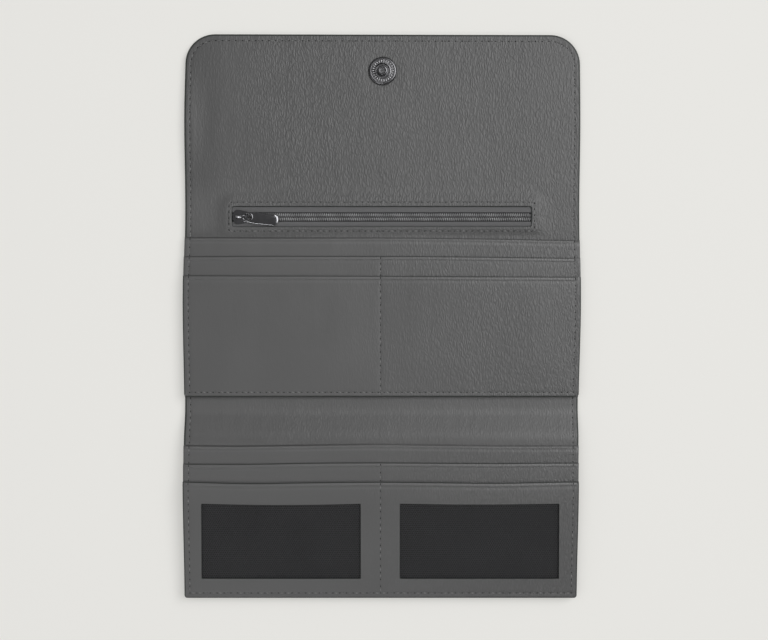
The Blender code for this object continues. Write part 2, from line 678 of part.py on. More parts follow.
def middle(leather, cloth, board, frame):
    end = -MIDDLE_LENGTH + FOLD_GAP
    strip_shell("shell_middle", -FOLD_GAP, end, leather, frame)
    stiffener("stiffener_middle", (end + SEAM_ALLOWANCE / 2, -SEAM_ALLOWANCE / 2), board, frame)
    plate("lining_middle", (-half_width, half_width), (end, -FOLD_GAP), (z_lining, z_fold), leather, frame)
    stack_end = -MIDDLE_LENGTH + MIDDLE_STACK_SETBACK
    pocket_stack("middle", -MIDDLE_MOUTH_SETBACK, stack_end, z_front, (leather, cloth), frame)


def card_setback(depth):
    """How far an end must stand back from the card fold, which bends backwards at rest."""
    return FOLD_GAP + depth * math.tan((strip_tilt + card_tilt) / 2)


def bare_strip(leather, frame):
    shell_end = -bare_strip_length + card_setback(z_fold)
    lining_end = -bare_strip_length + card_setback(LINING_THICKNESS)
    strip_shell("shell_bare_strip", -FOLD_GAP, shell_end, leather, frame)
    x_span = (-half_width, half_width)
    plate("lining_bare_strip", x_span, (lining_end, -FOLD_GAP), (z_lining, z_fold), leather, frame)


def card_panel(leather, cloth, board, metal, frame):
    snap = (SNAP_X, -socket_from_fold)
    shell = end_shell("shell_card", -card_setback(z_fold), -CARD_LENGTH, CARD_CORNER_RADIUS, leather, frame)
    hole = POST_DIAMETER + 2 * POST_CLEARANCE
    cut_out(shell, hole_cutter("socket_hole_guide", snap, hole, -MM, z_filler, leather, frame))
    y_span = (-CARD_LENGTH + SEAM_ALLOWANCE + SEAM_CLEARANCE, -SEAM_ALLOWANCE / 2)
    card_board = stiffener("stiffener_card", y_span, board, frame)
    seat = WASHER_DIAMETER + 2 * LAYER_GAP
    cut_out(card_board, hole_cutter("washer_seat_guide", snap, seat, SHELL_THICKNESS, z_lining, board, frame))
    start = -card_setback(LINING_THICKNESS)
    z_span = (z_lining, z_fold)
    end_plate("lining_card", start, -CARD_LENGTH, CARD_CORNER_RADIUS, z_span, leather, frame)
    first_mouth = -CARD_MOUTH_SETBACK
    front = pocket_stack("card", first_mouth, -CARD_LENGTH, z_card_front, (leather, cloth), frame)
    window_y = -CARD_LENGTH + WINDOW_FROM_EDGE + WINDOW_HEIGHT / 2
    for side, sign in (("left", -1), ("right", 1)):
        centre = (sign * window_x, window_y)
        size = (window_width, WINDOW_HEIGHT, WINDOW_CORNER_RADIUS)
        loops = [rounded_rectangle(centre, *size, z) for z in (z_front, z_card_top + MM)]
        cut_out(front, loops_solid(f"window_{side}_guide", loops, leather, frame))
        net(f"mesh_{side}", centre, cloth, frame)
    snap_socket(snap, metal, frame)
    snap_washer("snap_female_washer", snap, metal, frame)


def build():
    clear_scene()
    leather = material("grained_leather", (0.11, 0.11, 0.115), 0.55)
    cloth = material("black_cloth", (0.03, 0.03, 0.032), 0.8)
    board = material("leather_board", (0.16, 0.12, 0.09), 0.9)
    metal = material("gunmetal_plating", (0.22, 0.22, 0.23), 0.25, 1.0)

    middle_frame = joint_frame("middle_frame", None, (0, zip_fold_y, z_fold))
    zip_frame = joint_frame("zip_strip_fold", middle_frame, (0, 0, 0))
    flap_frame = joint_frame("flap_fold", zip_frame, (0, ZIP_STRIP_LENGTH, 0))
    strip_frame = joint_frame("bare_strip_fold", middle_frame, (0, -MIDDLE_LENGTH, 0), (-strip_tilt, 0, 0))
    card_location = (0, -bare_strip_length, 0)
    card_frame = joint_frame("card_fold", strip_frame, card_location, (strip_tilt + card_tilt, 0, 0))
    slider_frame = joint_frame("zip_slide", zip_frame, (slider_x, zip_y, -z_fold))
    tip_height = z_bar - PULLER_THICKNESS / 2 - z_zip_lining_top - LAYER_GAP
    lean = math.asin(tip_height / PULLER_LENGTH)
    puller_location = (puller_x, 0, z_bar)
    puller_frame = joint_frame("puller_hinge", slider_frame, puller_location, (0, lean, -PULLER_SKEW))

    flap(leather, cloth, metal, flap_frame)
    zip_strip(leather, cloth, metal, zip_frame)
    zip_slider(metal, slider_frame)
    zip_puller(metal, puller_frame)
    middle(leather, cloth, board, middle_frame)
    bare_strip(leather, strip_frame)
    card_panel(leather, cloth, board, metal, card_frame)

    bpy.context.view_layer.update()
    for frame in (zip_frame, flap_frame, strip_frame, card_frame, slider_frame, puller_frame):
        place = [round(value, 6) for value in frame.matrix_world.translation]
        print(frame.name, place)
    angles = (strip_tilt, card_tilt, lean)
    print("strip tilt, card tilt, puller lean in degrees", [round(math.degrees(a), 4) for a in angles])
    print("slider travel", round(slider_travel, 6), "bare strip length", round(bare_strip_length, 6))


build()
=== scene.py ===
import json
import math

import bmesh
import bpy
import numpy as np
from mathutils import Euler, Matrix, Vector, noise
from mathutils.geometry import delaunay_2d_cdt


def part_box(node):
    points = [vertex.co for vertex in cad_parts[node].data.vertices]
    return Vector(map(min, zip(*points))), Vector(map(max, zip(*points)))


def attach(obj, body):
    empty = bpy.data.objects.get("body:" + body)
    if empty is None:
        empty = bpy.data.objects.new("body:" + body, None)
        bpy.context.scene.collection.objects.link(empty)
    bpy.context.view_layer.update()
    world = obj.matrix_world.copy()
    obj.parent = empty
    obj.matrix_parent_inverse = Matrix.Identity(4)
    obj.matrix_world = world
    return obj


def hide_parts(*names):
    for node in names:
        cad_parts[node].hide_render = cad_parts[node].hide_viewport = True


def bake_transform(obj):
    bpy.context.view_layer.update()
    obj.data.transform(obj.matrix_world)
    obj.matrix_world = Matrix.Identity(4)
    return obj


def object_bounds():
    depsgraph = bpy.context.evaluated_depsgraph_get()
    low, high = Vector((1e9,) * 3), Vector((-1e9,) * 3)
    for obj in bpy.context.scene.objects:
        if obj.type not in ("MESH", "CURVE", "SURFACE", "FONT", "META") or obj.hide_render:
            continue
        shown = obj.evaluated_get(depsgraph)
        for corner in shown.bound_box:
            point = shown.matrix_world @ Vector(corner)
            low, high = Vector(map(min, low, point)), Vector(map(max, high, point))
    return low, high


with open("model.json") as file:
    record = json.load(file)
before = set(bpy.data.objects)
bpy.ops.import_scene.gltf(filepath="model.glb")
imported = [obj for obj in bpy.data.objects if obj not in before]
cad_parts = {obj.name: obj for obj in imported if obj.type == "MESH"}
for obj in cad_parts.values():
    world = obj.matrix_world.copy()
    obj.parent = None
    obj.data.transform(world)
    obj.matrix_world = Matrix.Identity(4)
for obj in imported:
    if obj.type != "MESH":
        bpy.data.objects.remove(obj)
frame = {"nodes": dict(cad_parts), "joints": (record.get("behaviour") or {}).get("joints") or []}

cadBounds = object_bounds()
scene = bpy.context.scene
mm = 0.001
print("frame loaded")


# the wallet's own frame: x across, s along the leather from the flap's end, h up from the outer face, in mm

joints = {joint["name"]: joint for joint in frame["joints"]}


def foldPlace(name):
    return joints[name]["pos_m"][1] / mm, joints[name]["pos_m"][2] / mm


flapFold, foldHeight = foldPlace("flap_fold")
zipFold = foldPlace("zip_strip_fold")[0]
stripFold = foldPlace("bare_strip_fold")[0]
cardFoldY, cardFoldZ = foldPlace("card_fold")
stripLength = math.hypot(stripFold - cardFoldY, cardFoldZ - foldHeight)
stripTilt = math.atan2(cardFoldZ - foldHeight, stripFold - cardFoldY)
cardFold = stripFold - stripLength

liningThickness = 0.8
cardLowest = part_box("lining_card")[0] / mm
cardDrop = cardFoldZ - liningThickness - cardLowest.z
cardTilt = math.atan2(cardDrop, cardFoldY - cardLowest.y)
flapEnd = cadBounds[1].y / mm
cardTrim = 0.5  # the sewn edge is trimmed by this much after it is painted
cardEnd = cardFold - math.hypot(cardDrop, cardFoldY - cardLowest.y) + cardTrim

# each fold's place and half the length that bends
foldsAt = {"flap": (flapFold, 2.0), "zip": (zipFold, 2.0), "strip": (stripFold, 3.0), "card": (cardFold, 4.0)}
lineStep = 0.05


def smooth(low, high, value):
    share = np.clip((np.asarray(value, float) - low) / (high - low), 0, 1)
    return share * share * (3 - 2 * share)


# the leather's line down the page, which rises over the bare strip and leans back on the card panel
downTable = np.arange(-flapEnd - 5, -cardEnd + 5, lineStep)


def turnAt(name):
    fold, half = foldsAt[name]
    return smooth(-fold - half, -fold + half, downTable)


riseTable = stripTilt * turnAt("strip")
riseTable -= (stripTilt + cardTilt) * turnAt("card")
lineY = -downTable[0] - np.cumsum(np.cos(riseTable)) * lineStep
lineZ = foldHeight + np.cumsum(np.sin(riseTable)) * lineStep


def place(points):
    points = np.asarray(points, float).reshape(-1, 3)
    down = -points[:, 1]
    rise = np.interp(down, downTable, riseTable)
    above = points[:, 2] - foldHeight
    y = np.interp(down, downTable, lineY) + above * np.sin(rise)
    z = np.interp(down, downTable, lineZ) + above * np.cos(rise)
    return np.column_stack((points[:, 0], y, z)) * mm


# outlines

outline = {
    "s": (-139.9, -84, -47.5, 8, 52, 97, 140),
    "left": (96.7, 97.3, 96.95, 97.75, 96.9, 97.25, 96.6),
    "right": (96.3, 97.05, 97.35, 98.55, 98.15, 98.7, 98.4),
    "flapRadius": 14.6, "endLean": (0.15, 0.0024),
    "cardRadius": 1.6,
}


def sideX(sign, s):
    stations = outline["s"]
    reach = outline["left" if sign < 0 else "right"]
    s = np.clip(np.asarray(s, float), stations[0], stations[-1])
    at = np.clip(np.searchsorted(stations, s) - 1, 0, len(stations) - 2)
    share = smooth(np.take(stations, at), np.take(stations, at + 1), s)
    return np.take(reach, at) * (1 - share) + np.take(reach, at + 1) * share


def sideLine(sign, inset, start, end, step=1.3):
    count = max(2, int(abs(end - start) / step) + 1)
    return [(sign * (float(sideX(sign, s)) - inset), float(s)) for s in np.linspace(start, end, count)]


def endLine(inset, end, radius):
    way = 1 if end > 0 else -1
    bend = max(radius - inset, 0.3)
    line = []
    for sign in (-1, 1):
        reach = float(sideX(sign, end - way * radius)) - inset - bend
        middle = end - way * (inset + bend)
        turns = np.linspace(0, math.pi / 2, 14 if bend > 4 else 5)
        arc = [(sign * (reach + bend * math.cos(a)), middle + way * bend * math.sin(a)) for a in turns]
        if sign > 0:
            arc.reverse()
            line += [(float(x), line[-1][1]) for x in np.linspace(line[-1][0], arc[0][0], 66)[1:-1]]
        line += arc
    if end < 0:
        return line
    drop, lean = outline["endLean"]
    return [(x, s - (drop + lean * x) * float(smooth(end - 30, end - 8, s))) for x, s in line]


def rimRun(inset, start, end, radius):
    curve = endLine(inset, end, radius)
    left = sideLine(-1, inset, start, curve[0][1])[:-1]
    right = sideLine(1, inset, curve[-1][1], start)[1:]
    return left + curve + right


def roundedLoop(centre, width, height, radius, step=2.6, sag=0.0):
    loop = []
    corners = ((1, 1, 0), (-1, 1, 90), (-1, -1, 180), (1, -1, 270))
    for signX, signY, turn in corners:
        middle = (centre[0] + signX * (width / 2 - radius), centre[1] + signY * (height / 2 - radius))
        for a in np.radians(np.linspace(turn, turn + 90, 5)):
            loop.append((middle[0] + radius * math.cos(a), middle[1] + radius * math.sin(a)))
    full = []
    for (x0, y0), (x1, y1) in zip(loop, loop[1:] + loop[:1]):
        count = max(1, int(math.hypot(x1 - x0, y1 - y0) / step))
        full += [(x0 + (x1 - x0) * k / count, y0 + (y1 - y0) * k / count) for k in range(count)]
    share = [(x - centre[0]) / width + 0.5 for x, y in full]
    return [
        (x, y - sag * math.sin(math.pi * min(max(u, 0), 1)) * max(0, (y - centre[1]) / (height / 2)))
        for (x, y), u in zip(full, share)
    ]


def distanceTo(points, line, closed=False):
    line = np.asarray(line, float)
    a, b = (line, np.roll(line, -1, 0)) if closed else (line[:-1], line[1:])
    along = b - a
    length = np.maximum((along**2).sum(1), 1e-12)
    nearest = np.full(len(points), 1e9)
    for start in range(0, len(points), 2000):
        part = points[start:start + 2000, None, :]
        share = np.clip(((part - a) * along).sum(2) / length, 0, 1)
        gap = part - (a + share[..., None] * along)
        nearest[start:start + 2000] = np.sqrt((gap**2).sum(2).min(1))
    return nearest


def inside(points, loop):
    loop = np.asarray(loop, float)
    x, y = points[:, 0][:, None], points[:, 1][:, None]
    x0, y0 = loop[:, 0], loop[:, 1]
    x1, y1 = np.roll(x0, -1), np.roll(y0, -1)
    crosses = (y0 > y) != (y1 > y)
    at = x0 + (y - y0) * (x1 - x0) / np.where(y1 == y0, 1e-12, y1 - y0)
    return (crosses & (x < at)).sum(1) % 2 == 1


def ripple(points, size, seed):
    return np.array([noise.noise(Vector((x / size, y / size, seed))) for x, y in points])


def roundEdge(distance, width, depth):
    share = 1 - np.clip(distance / width, 0, 1)
    return depth * (1 - np.sqrt(np.maximum(1 - share**2, 0)))


def furrow(distance, width, depth):
    return depth * np.exp(-((distance / width) ** 2))


# materials

def linear(hexText):
    channels = [int(hexText[i:i + 2], 16) / 255 for i in (1, 3, 5)]
    return tuple(c / 12.92 if c <= 0.04045 else ((c + 0.055) / 1.055) ** 2.4 for c in channels) + (1.0,)


def addNode(tree, kind, inputs=None, **settings):
    # an input is a value, or the socket that it comes from
    node = tree.nodes.new(kind)
    for key, value in settings.items():
        setattr(node, key, value)
    for key, value in (inputs or {}).items():
        if isinstance(value, bpy.types.NodeSocket):
            tree.links.new(value, node.inputs[key])
        else:
            node.inputs[key].default_value = value
    return node


def newMaterial(name, roughness, metallic=0.0):
    made = bpy.data.materials.new(name)
    made.use_nodes = True
    tree = made.node_tree
    shader = tree.nodes["Principled BSDF"]
    shader.inputs["Roughness"].default_value = roughness
    shader.inputs["Metallic"].default_value = metallic
    return made, tree, shader, addNode(tree, "ShaderNodeTexCoord").outputs["Object"]


def dress(tree, shader, colour, height, depth, strength=1.0):
    # the material's colour and its relief
    relief = {"Strength": strength, "Distance": depth * mm, "Height": height}
    tree.links.new(colour, shader.inputs["Base Color"])
    tree.links.new(addNode(tree, "ShaderNodeBump", relief).outputs[0], shader.inputs["Normal"])


def pebbledLeather(name, look):
    # chrome-tanned cowhide, drum milled: long soft pebbles, a few wide wrinkles, a dull wax finish
    made, tree, shader, place3d = newMaterial(name, look["roughness"])
    shader.inputs["Specular IOR Level"].default_value = look["gloss"]
    warps = {"Scale": 1000 / look["warpSize"], "Detail": 2, "Vector": place3d}
    warp = addNode(tree, "ShaderNodeTexNoise", warps)
    bent = addNode(
        tree, "ShaderNodeVectorMath", {0: warp.outputs["Color"], 1: (look["warp"] * mm,) * 3, 2: place3d},
        operation="MULTIPLY_ADD",
    ).outputs[0]
    maps = {}
    for part, vector in (("cell", bent), ("fine", bent), ("wrinkle", place3d)):
        wide, long = 1000 / look[part + "Width"], 1000 / look[part + "Length"]
        scaled = {"Scale": (wide, long, wide), "Vector": vector}
        maps[part] = addNode(tree, "ShaderNodeMapping", scaled).outputs[0]
    cells = addNode(
        tree, "ShaderNodeTexVoronoi", {"Scale": 1.0, "Randomness": 1.0, "Vector": maps["cell"]},
        feature="DISTANCE_TO_EDGE",
    ).outputs["Distance"]
    groove = addNode(
        tree, "ShaderNodeMapRange", {"From Max": look["grooveShare"], "Value": cells},
        interpolation_type="SMOOTHSTEP",
    ).outputs[0]
    pebbles = addNode(
        tree, "ShaderNodeTexVoronoi",
        {"Scale": 1.0, "Smoothness": 0.35, "Randomness": 1.0, "Vector": maps["fine"]}, feature="SMOOTH_F1",
    ).outputs["Distance"]
    pores, wrinkle, patches = (addNode(tree, "ShaderNodeTexNoise", values).outputs["Fac"] for values in (
        {"Scale": 1.9, "Detail": 3, "Roughness": 0.6, "Vector": maps["fine"]},
        {"Scale": 1.0, "Detail": 4, "Vector": maps["wrinkle"]},
        {"Scale": 1000 / 34, "Detail": 1, "Vector": place3d},
    ))
    domes = addNode(
        tree, "ShaderNodeMath", {0: pebbles, 1: -look["fineShare"], 2: groove}, operation="MULTIPLY_ADD"
    ).outputs[0]
    grain = addNode(
        tree, "ShaderNodeMath", {0: pores, 1: look["poreShare"], 2: domes}, operation="MULTIPLY_ADD"
    ).outputs[0]
    axes = addNode(tree, "ShaderNodeSeparateXYZ", {0: place3d}).outputs
    ranges = {}
    for part, value, (low, high), start, end in (
        ("side", axes["X"], [v * mm for v in look["calmSide"]], look["calmLeft"], 1.0),
        ("down", axes["Y"], [v * mm for v in look["calmDown"]], look["calmLow"], 1.0),
        ("patch", patches, (0.3, 0.65), look["calm"], 1.0),
        ("worn", patches, (0.35, 0.7), 0.0, look["mottle"]),
        ("paintedValleyShade", grain, look["valleyBetween"], 1.0, 0.0),
    ):
        limits = {"From Min": low, "From Max": high, "To Min": start, "To Max": end, "Value": value}
        ranges[part] = addNode(tree, "ShaderNodeMapRange", limits).outputs[0]
    amount = ranges["side"]
    for part in ("down", "patch"):
        both = {0: amount, 1: ranges[part]}
        amount = addNode(tree, "ShaderNodeMath", both, operation="MULTIPLY").outputs[0]
    raised, shade = (
        addNode(tree, "ShaderNodeMath", {0: value, 1: amount}, operation="MULTIPLY").outputs[0]
        for value in (grain, ranges["paintedValleyShade"])
    )
    height = addNode(
        tree, "ShaderNodeMath", {0: wrinkle, 1: look["wrinkleDepth"] / look["grainDepth"], 2: raised},
        operation="MULTIPLY_ADD",
    ).outputs[0]
    # painted shade darkens the grain's valleys; random patches then look worn
    colour = linear(look["colour"])
    for share, tint in ((shade, look["paintedValleyShade"]), (ranges["worn"], look["worn"])):
        ends = {0: share, 6: colour, 7: linear(tint)}
        colour = addNode(tree, "ShaderNodeMix", ends, data_type="RGBA").outputs[2]
    # the piece's painted light and shade scales the colour
    paintedLight = addNode(tree, "ShaderNodeAttribute", attribute_name="paintedLight").outputs["Fac"]
    share = addNode(tree, "ShaderNodeMath", {0: paintedLight, 1: 1.0}, operation="ADD").outputs[0]
    toned = addNode(tree, "ShaderNodeVectorMath", {0: colour, "Scale": share}, operation="SCALE")
    dress(tree, shader, toned.outputs[0], height, look["grainDepth"])
    return made


outerLook = {
    "colour": "#4a4a4a", "paintedValleyShade": "#3c3c3c", "worn": "#505050", "mottle": 0.35,
    "roughness": 0.5, "gloss": 1.0, "warpSize": 3.6, "warp": 1.3, "grainDepth": 0.088,
    "cellWidth": 1.2, "cellLength": 3.8, "grooveShare": 0.32, "fineWidth": 0.72, "fineLength": 2.3,
    "fineShare": 0.9, "poreShare": 0.6, "valleyBetween": (-0.35, 0.9),
    "wrinkleWidth": 5.0, "wrinkleLength": 22.0, "wrinkleDepth": 0.14,
    "calm": 0.7, "calmLeft": 0.3, "calmSide": (-88, -45), "calmLow": 0.45, "calmDown": (0, 40),
}
underLook = dict(outerLook, calmLeft=0.95, calmLow=0.95, calm=0.85)
smoothLook = dict(
    outerLook, colour="#464646", paintedValleyShade="#393939", worn="#4c4c4c", grainDepth=0.1, calm=0.6, calmLeft=0.1,
    calmSide=(-30, 60), calmLow=0.9, wrinkleWidth=9.0,
)
liningLeather = pebbledLeather("milledCowhideLining", outerLook)
shellLeather = pebbledLeather("milledCowhideOuter", underLook)
pocketLeather = pebbledLeather("milledCowhidePocket", smoothLook)


def plainNoise(name, look):
    # one noise gives both the colour and the relief
    made, tree, shader, place3d = newMaterial(name, look["roughness"])
    sizes = {"Scale": 1000 / look["size"], "Detail": look["detail"], "Vector": place3d}
    spots = addNode(tree, "ShaderNodeTexNoise", sizes).outputs["Fac"]
    ends = {0: spots, 6: linear(look["low"]), 7: linear(look["high"])}
    colour = addNode(tree, "ShaderNodeMix", ends, data_type="RGBA").outputs[2]
    dress(tree, shader, colour, spots, look["depth"])
    return made


# brushed-on acrylic edge paint over a cut leather edge: thick, darker than the leather, a little glossy
paintLook = {"low": "#292c2a", "high": "#393c3a", "roughness": 0.5, "size": 1.6, "detail": 3, "depth": 0.08}
paint = plainNoise("brushedEdgePaint", paintLook)

# bonded leather board: ground fibres pressed flat
boardLook = {"low": "#5a4a3a", "high": "#8a7560", "roughness": 0.85, "size": 1.2, "detail": 4, "depth": 0.08}
board = plainNoise("bondedLeatherBoard", boardLook)


def plainWeave(name, look):
    # plain woven polyester: threads over and under at the pitch, matt with a faint sheen
    made, tree, shader, place3d = newMaterial(name, look["roughness"])
    shader.inputs["Sheen Weight"].default_value = look["sheen"]
    turns = 2 * math.pi / (2 * look["pitch"] * mm)
    wide = addNode(tree, "ShaderNodeVectorMath", {0: place3d, 1: (turns,) * 3}, operation="MULTIPLY")
    axes = addNode(tree, "ShaderNodeSeparateXYZ", {0: wide.outputs[0]}).outputs
    waves = [addNode(tree, "ShaderNodeMath", {0: axes[axis]}, operation="SINE").outputs[0] for axis in "XY"]
    over = addNode(tree, "ShaderNodeMath", {0: waves[0], 1: waves[1]}, operation="MULTIPLY").outputs[0]
    lift = addNode(tree, "ShaderNodeMath", {0: over, 1: 0.5, 2: 0.5}, operation="MULTIPLY_ADD").outputs[0]
    fluff = addNode(tree, "ShaderNodeTexNoise", {"Scale": 1000 / 0.9, "Detail": 3, "Vector": place3d})
    sums = {0: fluff.outputs["Fac"], 1: 0.5, 2: lift}
    uneven = addNode(tree, "ShaderNodeMath", sums, operation="MULTIPLY_ADD").outputs[0]
    ends = {0: uneven, 6: linear(look["low"]), 7: linear(look["high"])}
    colour = addNode(tree, "ShaderNodeMix", ends, data_type="RGBA").outputs[2]
    dress(tree, shader, colour, uneven, look["depth"])
    return made


liningCloth = plainWeave("wovenPolyesterLining", {
    "low": "#141415", "high": "#2a2a2b", "roughness": 0.8, "sheen": 0.1, "pitch": 0.35, "depth": 0.05,
})
tapeCloth = plainWeave("wovenZipTape", {
    "low": "#484849", "high": "#626263", "roughness": 0.7, "sheen": 0.12, "pitch": 0.42, "depth": 0.04,
})


def knitNet(look):
    # black warp-knitted polyester net: bare yarns, slightly shiny
    made, tree, shader, place3d = newMaterial("warpKnittedNet", look["roughness"])
    yarn, patches = (addNode(tree, "ShaderNodeTexNoise", values).outputs["Fac"] for values in (
        {"Scale": 1000 / 0.6, "Detail": 2, "Vector": place3d},
        {"Scale": 1000 / 22, "Detail": 1, "Vector": place3d},
    ))
    both = addNode(tree, "ShaderNodeMath", {0: patches, 1: 0.4, 2: yarn}, operation="MULTIPLY_ADD").outputs[0]
    ends = {0: both, 6: linear(look["low"]), 7: linear(look["high"])}
    colour = addNode(tree, "ShaderNodeMix", ends, data_type="RGBA").outputs[2]
    dress(tree, shader, colour, yarn, 0.05, 0.6)
    return made


netYarn = knitNet({"low": "#060607", "high": "#353537", "roughness": 0.5})


def platedMetal(name, low, high, roughness):
    # zinc casting with polished black-nickel plating: dark mirror with hairline scratches from use
    made, tree, shader, place3d = newMaterial(name, roughness, 1.0)
    hairline = {"Scale": (1000 / 4.0, 1000 / 0.15, 1000 / 0.15), "Rotation": (0, 0, 0.5), "Vector": place3d}
    scratchMap = addNode(tree, "ShaderNodeMapping", hairline).outputs[0]
    scratch, haze = (addNode(tree, "ShaderNodeTexNoise", values).outputs["Fac"] for values in (
        {"Scale": 1.0, "Detail": 3, "Vector": scratchMap},
        {"Scale": 1000 / 2.5, "Detail": 2, "Vector": place3d},
    ))
    limits = {"To Min": roughness * 0.7, "To Max": roughness * 1.4, "Value": haze}
    tree.links.new(addNode(tree, "ShaderNodeMapRange", limits).outputs[0], shader.inputs["Roughness"])
    ends = {0: haze, 6: linear(low), 7: linear(high)}
    colour = addNode(tree, "ShaderNodeMix", ends, data_type="RGBA").outputs[2]
    dress(tree, shader, colour, scratch, 0.004, 0.5)
    return made


blackNickel = platedMetal("polishedBlackNickel", "#79797b", "#8c8c8f", 0.13)
snapNickel = platedMetal("stampedBlackNickel", "#666668", "#7c7c7e", 0.25)
# a lighter copy of the snap's nickel for the ridges: a painted highlight on them
ridgeHighlightNickel = platedMetal("paintedHighlightRidgeNickel", "#b4b4b6", "#d2d2d4", 0.38)


def twistedThread(name, low, high, roughness):
    # bonded polyester thread, two plies twisted together, a little waxy
    made, tree, shader, place3d = newMaterial(name, roughness)
    twist = addNode(
        tree, "ShaderNodeTexWave", {"Scale": 1000 / 0.9 / 20, "Distortion": 1.5, "Vector": place3d},
        wave_type="BANDS", bands_direction="DIAGONAL",
    ).outputs["Fac"]
    ends = {0: twist, 6: linear(low), 7: linear(high)}
    colour = addNode(tree, "ShaderNodeMix", ends, data_type="RGBA").outputs[2]
    dress(tree, shader, colour, twist, 0.06, 0.5)
    return made


thread = twistedThread("bondedThread", "#5a5a5a", "#7a7a7a", 0.55)
# dark beads in the needle holes: painted shade for the holes' shadow, with the thread's twisted pattern
needleHoleShade = twistedThread("paintedNeedleHoleShade", "#1c1c1c", "#262626", 0.9)
coilNylon = twistedThread("drawnNylonCoil", "#7c7c7d", "#949495", 0.3)
print("materials made")


# leather sheets, from an outline in x and s and a height over it

def addObject(name, data):
    made = bpy.data.objects.new(name, data)
    scene.collection.objects.link(made)
    return made


def newPiece(name, verts, faces, materials, painted, sharp=50):
    mesh = bpy.data.meshes.new(name)
    mesh.from_pydata([tuple(v) for v in verts], [], [tuple(int(i) for i in f) for f in faces])
    mesh.validate()
    for material in materials:
        mesh.materials.append(material)
    mesh.polygons.foreach_set("material_index", np.asarray(painted, np.int32))
    mesh.shade_smooth()
    mesh.set_sharp_from_angle(angle=math.radians(sharp))
    return addObject(name, mesh)


